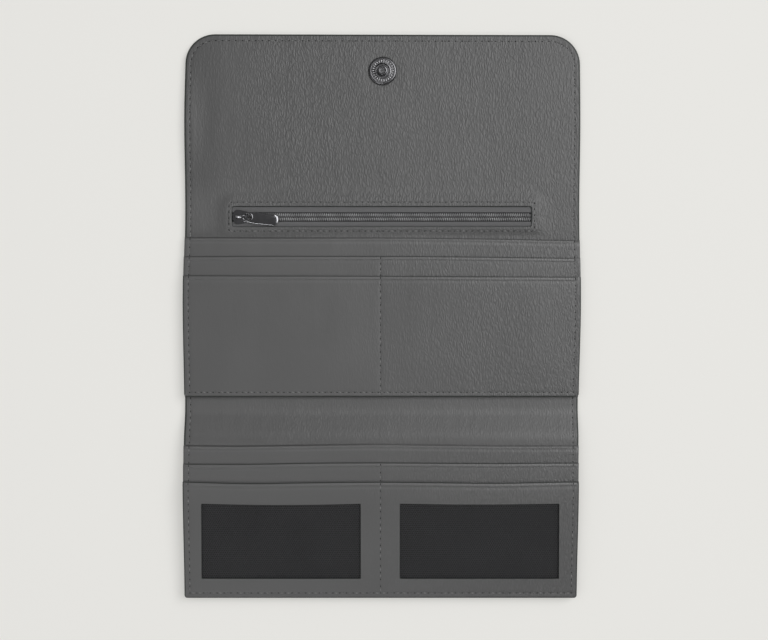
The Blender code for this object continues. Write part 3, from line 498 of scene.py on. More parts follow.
def leatherSheet(
    name, loops, guides, rim, topHeight, bottomHeight, materials, wall, grid=3.0, paintWidth=0.3, inked=(),
    paintedLightAt=None, turned=None, floorAt=None,
):
    # with floorAt the holes are blind: they end on a floor at that height and the underside stays closed
    points, edges = [], []
    for line, closed in [(loop, True) for loop in loops] + [(guide, False) for guide in guides]:
        first = len(points)
        points += line
        edges += [(first + k, first + k + 1) for k in range(len(line) - 1)]
        if closed:
            edges.append((len(points) - 1, first))
    border = np.asarray(loops[0])
    low, high = border.min(0), border.max(0)
    across, along = np.arange(low[0], high[0], grid), np.arange(low[1], high[1], grid)
    field = np.array([(x + (k % 2) * grid / 2, y) for k, y in enumerate(along) for x in across])
    keep = inside(field, loops[0])
    for loop in loops:
        keep &= distanceTo(field, loop, closed=True) > 0.4 * grid
    for loop in loops[1:] if floorAt is None else ():
        keep &= ~inside(field, loop)
    for guide in guides:
        keep &= distanceTo(field, guide) > 0.3 * grid
    points += [tuple(p) for p in field[keep]]
    made = delaunay_2d_cdt([Vector(p) for p in points], edges, [], 0, 1e-4)
    flat = np.array([(v.x, v.y) for v in made[0]])
    tris = np.array([f for f in made[2] if len(f) == 3])
    centres = flat[tris].mean(1)
    kept, hollow = inside(centres, loops[0]), np.zeros(len(tris), bool)
    for loop in loops[1:]:
        hollow |= inside(centres, loop)
    if floorAt is None:
        kept &= ~hollow
    tris, hollow = tris[kept], hollow[kept]
    a, b, c = flat[tris[:, 0]], flat[tris[:, 1]], flat[tris[:, 2]]
    area = (b[:, 0] - a[:, 0]) * (c[:, 1] - a[:, 1]) - (b[:, 1] - a[:, 1]) * (c[:, 0] - a[:, 0])
    tris[area < 0] = tris[area < 0][:, ::-1]
    tris, hollow = tris[np.abs(area) > 1e-7], hollow[np.abs(area) > 1e-7]
    used = np.unique(tris)
    order = np.full(len(flat), -1)
    order[used] = np.arange(len(used))
    flat, tris = flat[used], order[tris]

    upper, pit = tris[~hollow], tris[hollow]
    directed, pitEdges = (
        {(int(t[i]), int(t[(i + 1) % 3])) for t in part for i in range(3)} for part in (upper, pit)
    )
    openEdges = [(i, j) for i, j in directed if (j, i) not in directed]
    brink = sorted({v for i, j in openEdges if (j, i) in pitEdges for v in (i, j)})
    outward = np.zeros_like(flat)
    for i, j in openEdges:
        side = flat[j] - flat[i]
        normal = np.array((side[1], -side[0])) / max(np.hypot(*side), 1e-9)
        outward[i] += normal
        outward[j] += normal
    outward /= np.maximum(np.hypot(outward[:, 0], outward[:, 1])[:, None], 1e-9)

    fromRim = np.min([distanceTo(flat, line) for line in rim], 0)
    top, bottom = topHeight(flat, fromRim), bottomHeight(flat, fromRim)
    foot = bottom.copy()
    foot[brink] = floorAt or 0
    top[np.setdiff1d(pit, brink)] = floorAt or 0
    rimVerts = sorted({i for edge in openEdges for i in edge})
    wallAt = {v: k for k, v in enumerate(rimVerts)}
    bulge = outward[rimVerts] * (fromRim[rimVerts] < 0.02)[:, None]
    verts = [np.column_stack((flat, top)), np.column_stack((flat, bottom))]
    for share, out in wall:
        height = top[rimVerts] * (1 - share) + foot[rimVerts] * share
        verts.append(np.column_stack((flat[rimVerts] + bulge * out, height)))
    count, ring = len(flat), len(rimVerts)
    verts.append(np.column_stack((flat[brink], foot[brink])))
    floorOf = {v: 2 * count + len(wall) * ring + k for k, v in enumerate(brink)}
    faces = [tuple(t) for t in upper] + [tuple(t[::-1] + count) for t in tris]
    faces += [tuple(floorOf.get(int(v), int(v)) for v in t) for t in pit]
    # dark band along these lines: edge paint, and round the zip window painted shadow as well
    fromPaintAndShade = np.min([fromRim] + [distanceTo(flat, line) + paintWidth - width for line, width in inked], 0)
    under = len(materials) - 1 if len(materials) > 2 else 0
    painted = list(np.where(fromPaintAndShade[upper].max(1) < paintWidth, 1, 0))
    painted += list(np.where(fromRim[tris].max(1) < paintWidth, 1, under)) + [under] * len(pit)
    bare = distanceTo(flat, turned) < 0.02 if turned else np.zeros(count, bool)
    for i, j in openEdges:
        columns = []
        for v in (i, j):
            last = floorOf[v] if (j, i) in pitEdges else v + count
            columns.append([v] + [2 * count + k * ring + wallAt[v] for k in range(len(wall))] + [last])
        for k in range(len(wall) + 1):
            faces.append((columns[0][k], columns[0][k + 1], columns[1][k + 1], columns[1][k]))
            painted.append(0 if bare[i] and bare[j] else 1)
    piece = newPiece(name, place(np.vstack(verts)), faces, materials, painted)
    # painted light and shade, given per vertex of the top face
    if paintedLightAt:
        paintedLights = np.zeros(len(piece.data.vertices), np.float32)
        paintedLights[:count] = paintedLightAt(flat)
        piece.data.attributes.new("paintedLight", "FLOAT", "POINT").data.foreach_set("value", paintedLights)
    return piece


# the leather body: lining and outer leather, sewn and edge painted, from the flap's end to the card panel's

seams = {"zip": zipFold + 2.3, "middle": -4.6, "strip": (stripFold + cardFold) / 2}
bodyLook = {
    "rimInsets": (0.12, 0.3, 0.55, 0.9, 1.4, 2.0, 2.4, 2.75, 3.1, 3.6, 4.6),
    "rimRound": 0.9, "rimDrop": 0.5, "paintWidth": 0.92, "seamInset": 2.75, "seamWidth": 0.42,
    "seamDepth": 0.08,
    "wave": 0.10, "waveSize": 26.0, "shell": 1.0,
    "wall": ((0.12, 0.03), (0.30, 0.0), (0.36, -0.14), (0.42, 0.0), (0.70, 0.03), (0.88, 0.03)),
}
edgeCurl = {"at": 96, "length": 27, "rise": 1.4, "width": 15}
zipLow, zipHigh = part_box("zip_tape_lower")[0] / mm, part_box("zip_tape_upper")[1] / mm
zipSize = {
    # round the zip window the band of edge paint is widened into a painted shadow line along its cut edge
    "overTape": 2.1, "up": 0.2, "ink": 0.31, "lipRise": 0.9, "corner": 0.8, "flatRing": 1.2, "slopeEnd": 9.0,
    "foldFade": (0.2, 4.4), "lipRound": 0.45, "lipDrop": 0.3, "stitchOut": (1.55, 2.15),
}
windowMiddle = ((zipLow.x + zipHigh.x) / 2, (zipLow.y + zipHigh.y) / 2 + zipSize["up"])
windowWidth = zipHigh.x - zipLow.x - 2 * zipSize["overTape"]
windowHeight = zipHigh.y - zipLow.y - 2 * zipSize["overTape"]
snapLow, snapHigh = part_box("snap_male")[0] / mm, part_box("snap_male")[1] / mm
snapMiddle = ((snapLow.x + snapHigh.x) / 2, (snapLow.y + snapHigh.y) / 2)
snapRadius = (snapHigh.x - snapLow.x) / 2


def zipWindow(out=0.0):
    radius = zipSize["corner"] + out / 2
    return roundedLoop(windowMiddle, windowWidth + 2 * out, windowHeight + 2 * out, radius)


def edgeLift(points):
    fromSide = sideX(-1, points[:, 1]) + points[:, 0]
    along = np.exp(-(((points[:, 1] - edgeCurl["at"]) / edgeCurl["length"]) ** 2))
    return edgeCurl["rise"] * along * (1 - smooth(0, edgeCurl["width"], fromSide)) ** 1.5


def bodyTop(points, fromRim):
    look = bodyLook
    height = foldHeight + look["wave"] * ripple(points, look["waveSize"], 3.1) + edgeLift(points)
    height -= roundEdge(fromRim, look["rimRound"], look["rimDrop"])
    height -= furrow(fromRim - look["seamInset"], look["seamWidth"], look["seamDepth"])
    near = (points[:, 1] > zipFold - 3) & (points[:, 1] < flapFold + 8)
    if near.any():
        fromWindow = distanceTo(points[near], zipWindow(), closed=True)
        lift = zipSize["lipRise"] * (1 - smooth(zipSize["flatRing"], zipSize["slopeEnd"], fromWindow))
        fadeLow, fadeHigh = zipSize["foldFade"]
        lift *= smooth(zipFold + fadeLow, zipFold + fadeHigh, points[near, 1])
        lift -= roundEdge(fromWindow, zipSize["lipRound"], zipSize["lipDrop"])
        lift -= furrow(fromWindow - zipSize["stitchOut"][1], 0.4, 0.14)
        height[near] += lift
    fromSnap = np.hypot(points[:, 0] - snapMiddle[0], points[:, 1] - snapMiddle[1])
    height -= furrow(np.maximum(fromSnap - snapRadius, 0), 2.2, 0.22)
    return height


def bodyBottom(points, fromRim):
    look = bodyLook
    height = roundEdge(fromRim, look["rimRound"], look["rimDrop"]) + edgeLift(points)
    return height + furrow(fromRim - look["seamInset"], look["seamWidth"], 0.12)


def bodyPaintedLight(points):
    # painted light and shade on the leather: lighter towards the right of the flap, darker at its left edge
    # and over that edge's lift, lighter on the right of the zip strip, darker along the zip fold at the left
    # and along the card fold, darker towards the right of the bare strip
    x, s = points[:, 0], points[:, 1]
    onFlap = smooth(flapFold - 4, flapFold + 12, s)
    fromSide = sideX(-1, s) + x
    across = np.clip(x / 90, -1, 1)
    paintedLight = (0.1 * across + 0.11 * across**2 - 0.34 * (1 - smooth(3, 24, fromSide))) * onFlap
    paintedLight -= 0.22 * np.exp(-(((s - edgeCurl["at"]) / edgeCurl["length"]) ** 2) - ((fromSide - 8) / 5) ** 2)
    paintedLight += 0.16 * smooth(20, 85, x) * smooth(zipFold, zipFold + 5, s) * (1 - onFlap)
    paintedLight -= 0.26 * np.exp(-(((s - zipFold - 1) / 1.8) ** 2)) * (1 - smooth(-65, -15, x))
    paintedLight -= 0.16 * np.exp(-(((s - cardFold + 1) / 3.4) ** 2)) * (1 - 0.4 * smooth(20, 80, x))
    onStrip = smooth(cardFold - 2, cardFold + 4, s) * (1 - smooth(-12, stripFold + 6, s))
    paintedLight -= 0.26 * smooth(10, 85, x) * onStrip
    return paintedLight


def seamLine(s):
    xs = [sign * (float(sideX(sign, s)) - inset) for sign in (-1, 1) for inset in (0, *bodyLook["rimInsets"])]
    inner = min(x for x in xs if x > 0) - 2.0
    outerLeft = max(x for x in xs if x < 0) + 2.0
    xs += list(np.linspace(outerLeft, inner, 60))
    return [(float(x), s) for x in sorted(xs)]


def foldRows(start, end):
    # close rows of points across each fold, so that the leather bends round
    rows = []
    for fold, half in foldsAt.values():
        for share in (-1.2, -1, -0.75, -0.5, -0.25, 0, 0.25, 0.5, 0.75, 1, 1.2):
            s = fold + share * half
            if min(start, end) + 0.4 < s < max(start, end) - 0.4:
                xs = np.linspace(0.12 - float(sideX(-1, s)), float(sideX(1, s)) - 0.12, 70)
                rows.append([(float(x), s) for x in xs])
    return rows


def bodySheet(name, loops, guides, rim, start, end, **more):
    return leatherSheet(
        name, loops, guides + foldRows(start, end), rim, bodyTop, bodyBottom,
        [liningLeather, paint, shellLeather], bodyLook["wall"], paintWidth=bodyLook["paintWidth"],
        paintedLightAt=bodyPaintedLight, **more,
    )


def endPiece(name, start, end, radius, holes=(), extraGuides=()):
    rim = rimRun(0, start, end, radius)
    border = rim + seamLine(start)[1:-1][::-1]
    guides = [rimRun(inset, start, end, radius) for inset in bodyLook["rimInsets"]] + list(extraGuides)
    # edge paint round the zip window, widened into a painted shadow line
    inked = [(hole + hole[:1], zipSize["ink"]) for hole in holes]
    blind = bodyLook["shell"] if holes else None
    return bodySheet(name, [border, *holes], guides, [rim], start, end, inked=inked, floorAt=blind)


def midPiece(name, start, end):
    left, right = sideLine(-1, 0, start, end), sideLine(1, 0, end, start)
    border = left[:-1] + seamLine(end)[:-1] + right[:-1] + seamLine(start)[::-1][:-1]
    guides = [sideLine(sign, inset, start, end) for sign in (-1, 1) for inset in bodyLook["rimInsets"]]
    return bodySheet(name, [border], guides, [left, right], start, end)


zipRings = [zipWindow(out) + zipWindow(out)[:1] for out in (0.15, 0.3, 0.5, 1.0, 1.6, 2.15, 2.7, 3.6, 4.4)]
flapBody = endPiece("leatherFlap", seams["zip"], flapEnd, outline["flapRadius"], [zipWindow()], zipRings)
zipBody = midPiece("leatherZipFold", seams["middle"], seams["zip"])
stripBody = midPiece("leatherStripFold", seams["strip"], seams["middle"])
cardBody = endPiece("leatherCard", seams["strip"], cardEnd, outline["cardRadius"])
print("leather body made")

# the two bodies that each fold joins, and which way the line runs over it
folds = {
    "flap": ("zip_strip", "flap", -1), "zip": ("middle_panel", "zip_strip", -1),
    "strip": ("middle_panel", "bare_strip", 1), "card": ("bare_strip", "card_panel", 1),
}


def bend(piece, name):
    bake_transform(piece)


for piece, fold, nodes in (
    (flapBody, "flap", ("shell_flap", "lining_flap", "shell_zip_strip", "lining_zip_strip")),
    (zipBody, "zip", ("shell_middle", "lining_middle")),
    (stripBody, "strip", ("shell_middle", "lining_middle", "shell_bare_strip", "lining_bare_strip")),
    (cardBody, "card", ("shell_card", "lining_card")),
):
    bend(piece, fold)
    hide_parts(*nodes)


# pocket layers

levels = {
    "wall": (3.3, 4.1), "strip": (4.4, 5.2), "front": (5.5, 6.3), "cardFront": (6.1, 6.9), "net": (5.5, 5.8),
}
pocketLook = {
    "hem": (0.8, 1.6, 1.6), "hemRise": 0.1, "hemSlope": 0.35, "creaseAt": (1.75, 1.95, 1.95),
    "creaseWidth": 0.25, "creaseDepth": 0.07, "lipRound": (0.6, 1.0, 1.0), "lipDrop": (0.98, 0.5, 0.5),
    "paintWidth": (0.02, 0.2, 0.2),
    # painted highlight and shade under each mouth, for each layer: distance from the mouth, width, amount
    "bands": (
        ((0.9, 0.42, 0.5), (1.75, 0.36, -0.1), (2.65, 0.42, 0.4)),
        ((0.85, 0.45, 0.38), (2.0, 0.35, -0.04), (2.95, 0.4, 0.12)),
        ((0.85, 0.45, 0.38), (2.0, 0.35, -0.08), (2.95, 0.4, 0.26)),
    ),
    "rimInk": 0.75, "sideRound": 0.6, "sideDrop": 0.4, "seamDepth": 0.1, "seamWidth": 0.42,
    "mouthInsets": (0.15, 0.3, 0.45, 0.7, 0.95, 1.2, 1.45, 1.7, 1.95, 2.2, 2.55, 2.95, 3.4, 4.0),
    "sideInsets": (0.12, 0.3, 0.6, 1.2, 2.0, 2.4, 2.75, 3.1, 3.6, 5.0),
    "wave": 0.07, "waveSize": 17.0, "stripDepth": 14.0,
    "centreX": -0.25, "centreOffsets": (-1.1, -0.55, -0.25, 0, 0.25, 0.55, 1.1),
    "wall": ((0.25, 0.04), (0.5, 0.06), (0.75, 0.04)),
}
stackEnds = {"middle": stripFold + 7.5, "card": cardEnd}
bottomSeam = {"middle": 2.2, "card": 2.5}
mouthStations = (-97, -82, -62, -35, -4, 20, 56, 80, 97)
mouths = {
    "middle": {"first": zipFold - 0.5, "down": (0, 9.15, 19.0), "shift": (
        (0.3, 0.33, 0.22, 0.19, 0.22, 0.09, -0.36, -0.9, -1.1),
        (-0.1, -0.1, 0.1, 0.05, 0.02, 0.04, -0.4, -0.75, -0.95),
        (0.35, 0.3, 0.15, 0.15, 0.05, -0.03, -0.24, -0.28, -0.5),
    )},
    "card": {"first": cardFold - 3.55, "down": (0, 9.65, 18.85), "shift": (
        (-0.5, -0.85, -0.8, -0.35, 0.05, -0.3, -0.75, -0.8, -0.7),
        (-0.1, -0.15, -0.2, 0.4, 0.55, 0.42, 0.15, 0.4, 0.4),
        (0.6, 0.05, -0.38, 0.2, 0.45, 0.3, -0.2, 0.3, 0.6),
    )},
}


def mouthAt(part, order, x):
    shape = mouths[part]
    x = np.asarray(x, float)
    waves = [np.interp(x + near, mouthStations, shape["shift"][order]) for near in (-9, -4.5, 0, 4.5, 9)]
    return shape["first"] - shape["down"][order] + np.mean(waves, 0)


def mouthLine(part, order, inset, start=None, end=None):
    reach = [float(sideX(sign, mouths[part]["first"] - mouths[part]["down"][order])) for sign in (-1, 1)]
    xs = np.linspace(-reach[0] if start is None else start, reach[1] if end is None else end, 76)
    return [(float(x), float(mouthAt(part, order, x)) - inset) for x in xs]


cardWindow = {
    "width": 78.1, "height": 37.05, "radius": 0.45, "fromEdge": 9.65, "sag": {"left": 0.65, "right": 0.4},
    "shift": {"left": -0.15, "right": -0.55},
    "rings": (0.12, 0.35, 0.8, 1.8),
}
windowAt = {}
for side in ("left", "right"):
    low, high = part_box("mesh_" + side)[0] / mm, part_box("mesh_" + side)[1] / mm
    level = cardEnd + cardWindow["fromEdge"] + cardWindow["height"] / 2
    windowAt[side] = ((low.x + high.x) / 2 + cardWindow["shift"][side], level)


def cardHole(side, out=0.0):
    size = (cardWindow["width"] + 2 * out, cardWindow["height"] + 2 * out)
    return roundedLoop(windowAt[side], *size, cardWindow["radius"] + out / 2, sag=cardWindow["sag"][side])


def layerTop(part, order, level, end, dome, seed):
    look = pocketLook

    def heights(points, fromRim):
        x, s = points[:, 0], points[:, 1]
        fromMouth = mouthAt(part, order, x) - s
        height = np.full(len(points), level[1])
        hem = look["hem"][order]
        height += look["hemRise"] * (1 - smooth(hem - 0.1, hem + look["hemSlope"], fromMouth))
        height -= furrow(fromMouth - look["creaseAt"][order], look["creaseWidth"], look["creaseDepth"])
        lip = look["lipRound"][order], look["lipDrop"][order]
        height -= roundEdge(fromMouth, *lip) if order else lip[1] * (1 - smooth(0, lip[0], fromMouth))
        side = np.minimum(sideX(-1, s) + x, sideX(1, s) - x)
        height -= roundEdge(side, look["sideRound"], look["sideDrop"])
        height -= furrow(side - bodyLook["seamInset"], look["seamWidth"], look["seamDepth"])
        if order:
            height -= furrow(x - look["centreX"], 0.5, look["seamDepth"])
        fromEnd = s - end
        if order == 2:
            height -= roundEdge(fromEnd, look["sideRound"], look["sideDrop"])
            height -= furrow(fromEnd - bottomSeam[part], look["seamWidth"], look["seamDepth"])
        fromSeam = np.minimum(side - 3, np.abs(x - look["centreX"]) - 0.5) / 22 if order else (side - 3) / 30
        height += dome * smooth(0, 1, fromSeam) * smooth(2, 18, fromEnd)
        height += look["wave"] * ripple(points, look["waveSize"], seed) * smooth(3, 9, side)
        return height

    return heights


def layerPaintedLight(part, order):
    # painted light and shade on the pocket layers: painted highlights on the hem and painted shade in its
    # crease, stronger towards the right; a painted highlight on the first layer's lip; lighter towards the
    # right near each mouth; the card's front panel darker below its mouth
    def paintedLights(points):
        fromMouth = mouthAt(part, order, points[:, 0]) - points[:, 1]
        bands = [furrow(fromMouth - at, width, paintedLight) for at, width, paintedLight in pocketLook["bands"][order]]
        x = points[:, 0]
        paintedLight = sum(bands) * (0.45 + 0.55 * smooth(-70, 10, x) + 0.8 * smooth(10, 85, x))
        if part == "card" and order == 2:
            paintedLight -= 0.09 * smooth(2, 12, fromMouth)
        if order == 0:
            paintedLight += 0.8 * np.exp(-(((fromMouth - 0.2) / 0.3) ** 2)) * smooth(-50, 15, x)
        return paintedLight + (0.3 if order else 0.2) * smooth(10, 85, x) * np.exp(-np.maximum(fromMouth, 0) / 9)

    return paintedLights


def layerBottom(part, order, level, lower, end):
    def heights(points, fromRim):
        x, s = points[:, 0], points[:, 1]
        side = np.minimum(sideX(-1, s) + x, sideX(1, s) - x)
        near = 1 - smooth(4.5, 6.5, side)
        if order == 0:
            near = np.maximum(near, 1 - smooth(1.6, 4.2, mouthAt(part, order, x) - s))
        if order == 2:
            near = np.maximum(near, 1 - smooth(4.5, 6.5, s - end))
            stripLow = float(mouthAt(part, 1, 0)) - pocketLook["stripDepth"] - 0.2
            lowest = np.where(s < stripLow, levels["wall"][1], lower)
        else:
            lowest = lower
        return level[0] * (1 - near) + (lowest + 0.06) * near

    return heights


def pocketLayer(name, part, order, level, lower, end, dome, seed, holes=(), rings=()):
    mouth = mouthLine(part, order, 0)
    if order == 2:
        rimLow = rimRun(0, mouth[0][1], end, outline["cardRadius"])
    else:
        rimLow = sideLine(-1, 0, mouth[0][1], end) + [(float(x), end) for x in np.linspace(-95, 95, 60)]
        rimLow += sideLine(1, 0, end, mouth[-1][1])
    leftEnd = (-float(sideX(-1, mouth[0][1])), mouth[0][1])
    rightEnd = (float(sideX(1, mouth[-1][1])), mouth[-1][1])
    mouth = [leftEnd] + mouth[1:-1] + [rightEnd]
    rimLow = [leftEnd] + rimLow[1:-1] + [rightEnd]
    border = rimLow + mouth[1:-1][::-1]
    look = pocketLook
    guides = [mouthLine(part, order, inset, -96.0, 95.6) for inset in look["mouthInsets"]]
    for sign in (-1, 1):
        for inset in look["sideInsets"]:
            guides.append(sideLine(sign, inset, float(mouth[0 if sign < 0 else -1][1]) - 0.05, end + 1.8))
    if order:
        for offset in look["centreOffsets"]:
            top = float(mouthAt(part, order, 0)) - 0.1
            down = np.linspace(top, end + 0.1, int((top - end) / 2.6) + 2)
            guides.append([(look["centreX"] + offset, float(s)) for s in down])
    if order == 2:
        seam = bottomSeam[part]
        for inset in (0.12, 0.3, 0.6, 1.2, seam - 0.35, seam, seam + 0.35, seam + 0.9, 4.5):
            guides.append([(float(x), end + inset) for x in np.linspace(-95, 95, 66)])
    guides += [ring + ring[:1] for ring in rings]
    rim = [mouth, rimLow] + [list(hole) + list(hole[:1]) for hole in holes]
    top = layerTop(part, order, level, end, dome, seed)
    bottom = layerBottom(part, order, level, lower, end)
    return leatherSheet(
        name, [border, *holes], guides, rim, top, bottom, [pocketLeather, paint], look["wall"],
        paintWidth=look["paintWidth"][order], paintedLightAt=layerPaintedLight(part, order),
        turned=mouth if order == 0 else None, inked=[(rimLow, look["rimInk"])] if order == 2 else (),
    )


pocketPlan = (
    ("billPocketMiddle", "middle", 0, "wall", 3.0, "bill_pocket_middle", 0.0, 1.3),
    ("cardStripMiddle", "middle", 1, "strip", 4.1, "card_strip_middle", 0.1, 2.7),
    ("frontPanelMiddle", "middle", 2, "front", 5.2, "front_panel_middle", 0.35, 4.9),
    ("billPocketCard", "card", 0, "wall", 3.0, "bill_pocket_card", 0.0, 6.2),
    ("cardStripCard", "card", 1, "strip", 4.1, "card_strip_card", 0.1, 7.4),
    ("frontPanelCard", "card", 2, "cardFront", 5.2, "front_panel_card", 0.12, 8.8),
)
layerTops = {}
for name, part, order, levelName, lower, node, dome, seed in pocketPlan:
    end = stackEnds[part] if order != 1 else float(mouthAt(part, 1, 0)) - pocketLook["stripDepth"]
    sides = ("left", "right") if name == "frontPanelCard" else ()
    holes = [cardHole(side) for side in sides]
    rings = [cardHole(side, out) for side in sides for out in cardWindow["rings"]]
    layer = pocketLayer(name, part, order, levels[levelName], lower, end, dome, seed, holes, rings)
    layerTops[part, order] = layerTop(part, order, levels[levelName], end, dome, seed)
    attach(layer, "middle_panel" if part == "middle" else "card_panel")
    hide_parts(node)
print("pockets made")


# geometry nodes for what repeats

socketKinds = {
    int: "NodeSocketInt", float: "NodeSocketFloat", tuple: "NodeSocketVector",
    type(None): "NodeSocketMaterial",
}


def newTree(name, **inputs):
    tree = bpy.data.node_groups.new(name, "GeometryNodeTree")
    tree.interface.new_socket("Geometry", in_out="INPUT", socket_type="NodeSocketGeometry")
    for label, value in {**inputs, "Material": None}.items():
        socket = tree.interface.new_socket(label, in_out="INPUT", socket_type=socketKinds[type(value)])
        if value is not None:
            socket.default_value = value
    tree.interface.new_socket("Geometry", in_out="OUTPUT", socket_type="NodeSocketGeometry")
    return tree, tree.nodes.new("NodeGroupInput").outputs


def closeTree(tree, given, geometry, soft=True):
    # what ends every tree: real faces, shaded softly, with the material
    real = addNode(tree, "GeometryNodeRealizeInstances", {0: geometry}).outputs[0]
    if soft:
        real = addNode(tree, "GeometryNodeSetShadeSmooth", {0: real}).outputs[0]
    dressed = addNode(tree, "GeometryNodeSetMaterial", {0: real, "Material": given["Material"]})
    addNode(tree, "NodeGroupOutput", {0: dressed.outputs[0]})
    return tree


def beadOf(tree, segments, rings, radius, size):
    # a ball drawn out to a size
    ball = addNode(tree, "GeometryNodeMeshUVSphere", {"Segments": segments, "Rings": rings, "Radius": radius})
    return addNode(tree, "GeometryNodeTransform", {0: ball.outputs[0], "Scale": size}).outputs[0]


def grow(name, source, tree, values):
    # runs the tree on the source and keeps the result as a plain mesh
    host = addObject(name + "Source", source)
    modifier = host.modifiers.new("grow", "NODES")
    modifier.node_group = tree
    for item in tree.interface.items_tree:
        if item.item_type == "SOCKET" and item.in_out == "INPUT" and item.name in values:
            modifier[item.identifier] = values[item.name]
    graph = bpy.context.evaluated_depsgraph_get()
    graph.update()
    mesh = bpy.data.meshes.new_from_object(host.evaluated_get(graph), depsgraph=graph)
    mesh.name = name
    bpy.data.objects.remove(host)
    return addObject(name, mesh)


def polyCurve(name, lines):
    curve = bpy.data.curves.new(name, "CURVE")
    curve.dimensions = "3D"
    for line, closed in lines:
        spline = curve.splines.new("POLY")
        spline.points.add(len(line) - 1)
        for point, co in zip(spline.points, line):
            point.co = (*co, 1.0)
        spline.use_cyclic_u = closed
    return curve


def seamTree():
    # a grain of rice on each point of a line, turned along it and a little askew
    tree, given = newTree("stitches", Length=0.0024, Radius=0.0003, Slant=0.0, Wobble=0.05, Seed=7)
    size = addNode(tree, "ShaderNodeCombineXYZ", {0: given["Length"], 1: given["Radius"], 2: given["Radius"]})
    rice = beadOf(tree, 8, 6, 1.0, size.outputs[0])
    tangent = addNode(tree, "GeometryNodeInputTangent").outputs[0]
    along = addNode(tree, "FunctionNodeAlignRotationToVector", {"Vector": tangent}, axis="X").outputs[0]
    put = {"Points": given["Geometry"], "Instance": rice, "Rotation": along}
    grains = addNode(tree, "GeometryNodeInstanceOnPoints", put).outputs[0]
    least, most = (
        addNode(tree, "ShaderNodeMath", {0: given["Slant"], 1: given["Wobble"]}, operation=way).outputs[0]
        for way in ("SUBTRACT", "ADD")
    )
    ends = {2: least, 3: most, "Seed": given["Seed"]}
    yaw = addNode(tree, "FunctionNodeRandomValue", ends, data_type="FLOAT").outputs[1]
    turn = addNode(tree, "ShaderNodeCombineXYZ", {"Z": yaw}).outputs[0]
    askew = addNode(tree, "GeometryNodeRotateInstances", {"Instances": grains, "Rotation": turn}).outputs[0]
    return closeTree(tree, given, askew)


stitchTree = seamTree()


def spread(line, pitch, offset=0.0, closed=False):
    # evenly spaced points along a line, from an offset
    line = np.asarray(list(line) + (list(line[:1]) if closed else []), float)
    steps = np.concatenate(([0], np.cumsum(np.sqrt((np.diff(line, axis=0) ** 2).sum(1)))))
    count = max(2, int(round((steps[-1] - 2 * offset) / pitch)) + 1)
    at = np.linspace(offset, steps[-1] - offset, count)
    return np.column_stack([np.interp(at, steps, line[:, k]) for k in range(line.shape[1])])


stitchLook = {
    "thread": {"length": 0.68, "radius": 0.3, "lift": 0.0},
    "needleHoleShades": {"length": 0.6, "radius": 0.35, "lift": -0.21},
    "pitch": 3.3, "zipPitch": 2.95, "bottomPitch": {"middle": 2.9, "card": 3.35},
    "wobble": 0.07, "bottomSlant": -25, "topDrop": 0.5,
}


def lay(line, height, sink=0.0):
    line = np.asarray(line, float)
    return np.column_stack((line, height(line) + sink))


def rimDistance(points):
    line = rimRun(0, zipFold - 5, flapEnd, outline["flapRadius"])
    low = rimRun(0, zipFold - 5, cardEnd, outline["cardRadius"])
    return np.minimum(distanceTo(points, line), distanceTo(points, low))


def onBody(points):
    return bodyTop(points, rimDistance(points))


def onShell(points):
    return bodyBottom(points, rimDistance(points)) + 0.05


def onLayer(part, order):
    return lambda points: layerTops[part, order](points, None)


seamInset, hemPitch = bodyLook["seamInset"], stitchLook["pitch"]


def sideRuns(*spans):
    # on both sides, each span from one place to another on a face
    return [
        (sideLine(sign, seamInset, top, low, 1.0), height, hemPitch)
        for sign in (-1, 1) for top, low, height in spans
    ]


def layerSpan(part, order, x):
    # from just under the layer's mouth to the next mouth, or to the bottom seam
    top = float(mouthAt(part, order, x)) - 0.9
    low = float(mouthAt(part, order + 1, x)) + 0.6 if order < 2 else stackEnds[part] + bottomSeam[part]
    return top, low


def panelRuns(part):
    runs = []
    for order in (0, 1, 2):
        for sign in (-1, 1):
            line = sideLine(sign, seamInset, *layerSpan(part, order, sign * 94), 1.0)
            runs.append((line, onLayer(part, order), hemPitch))
    for order in (1, 2):
        line = [(pocketLook["centreX"], float(s)) for s in np.linspace(*layerSpan(part, order, 0), 30)]
        runs.append((line, onLayer(part, order), hemPitch))
    return runs


def bottomRun(part):
    at = stackEnds[part] + bottomSeam[part]
    reach = [float(sideX(sign, at)) - seamInset for sign in (-1, 1)]
    line = [(float(x), at) for x in np.linspace(-reach[0], reach[1], 80)]
    return line, onLayer(part, 2), stitchLook["bottomPitch"][part]


zipStitchLoop = roundedLoop(
    windowMiddle, windowWidth + 2 * zipSize["stitchOut"][0], windowHeight + 2 * zipSize["stitchOut"][1], 0.5
)
flapRun = rimRun(seamInset, seams["zip"], flapEnd, outline["flapRadius"])
flapRun = [(x, s - stitchLook["topDrop"] * float(smooth(flapEnd - 16, flapEnd - 4, s))) for x, s in flapRun]
cardRun = rimRun(seamInset, seams["strip"], cardEnd, outline["cardRadius"])
zipStart, stripEnd = seams["zip"], seams["strip"]
stitchPlan = {
    "Flap": ("flap", [
        (flapRun, onBody, hemPitch), (flapRun, onShell, hemPitch),
        (zipStitchLoop + zipStitchLoop[:1], onBody, stitchLook["zipPitch"]),
    ]),
    "ZipFold": ("zip", sideRuns(
        (zipStart, mouths["middle"]["first"] + 0.6, onBody), (zipStart, seams["middle"], onShell),
    )),
    "StripFold": ("strip", sideRuns(
        (stackEnds["middle"] - 0.8, stripEnd, onBody), (seams["middle"], stripEnd, onShell),
    )),
    "CardFold": ("card", [
        *sideRuns((stripEnd, mouths["card"]["first"] + 0.6, onBody)), (cardRun, onShell, hemPitch),
    ]),
    "Middle": ("middle_panel", panelRuns("middle")),
    "MiddleLow": ("middle_panel", [bottomRun("middle")], stitchLook["bottomSlant"]),
    "Card": ("card_panel", [*panelRuns("card"), bottomRun("card")]),
}
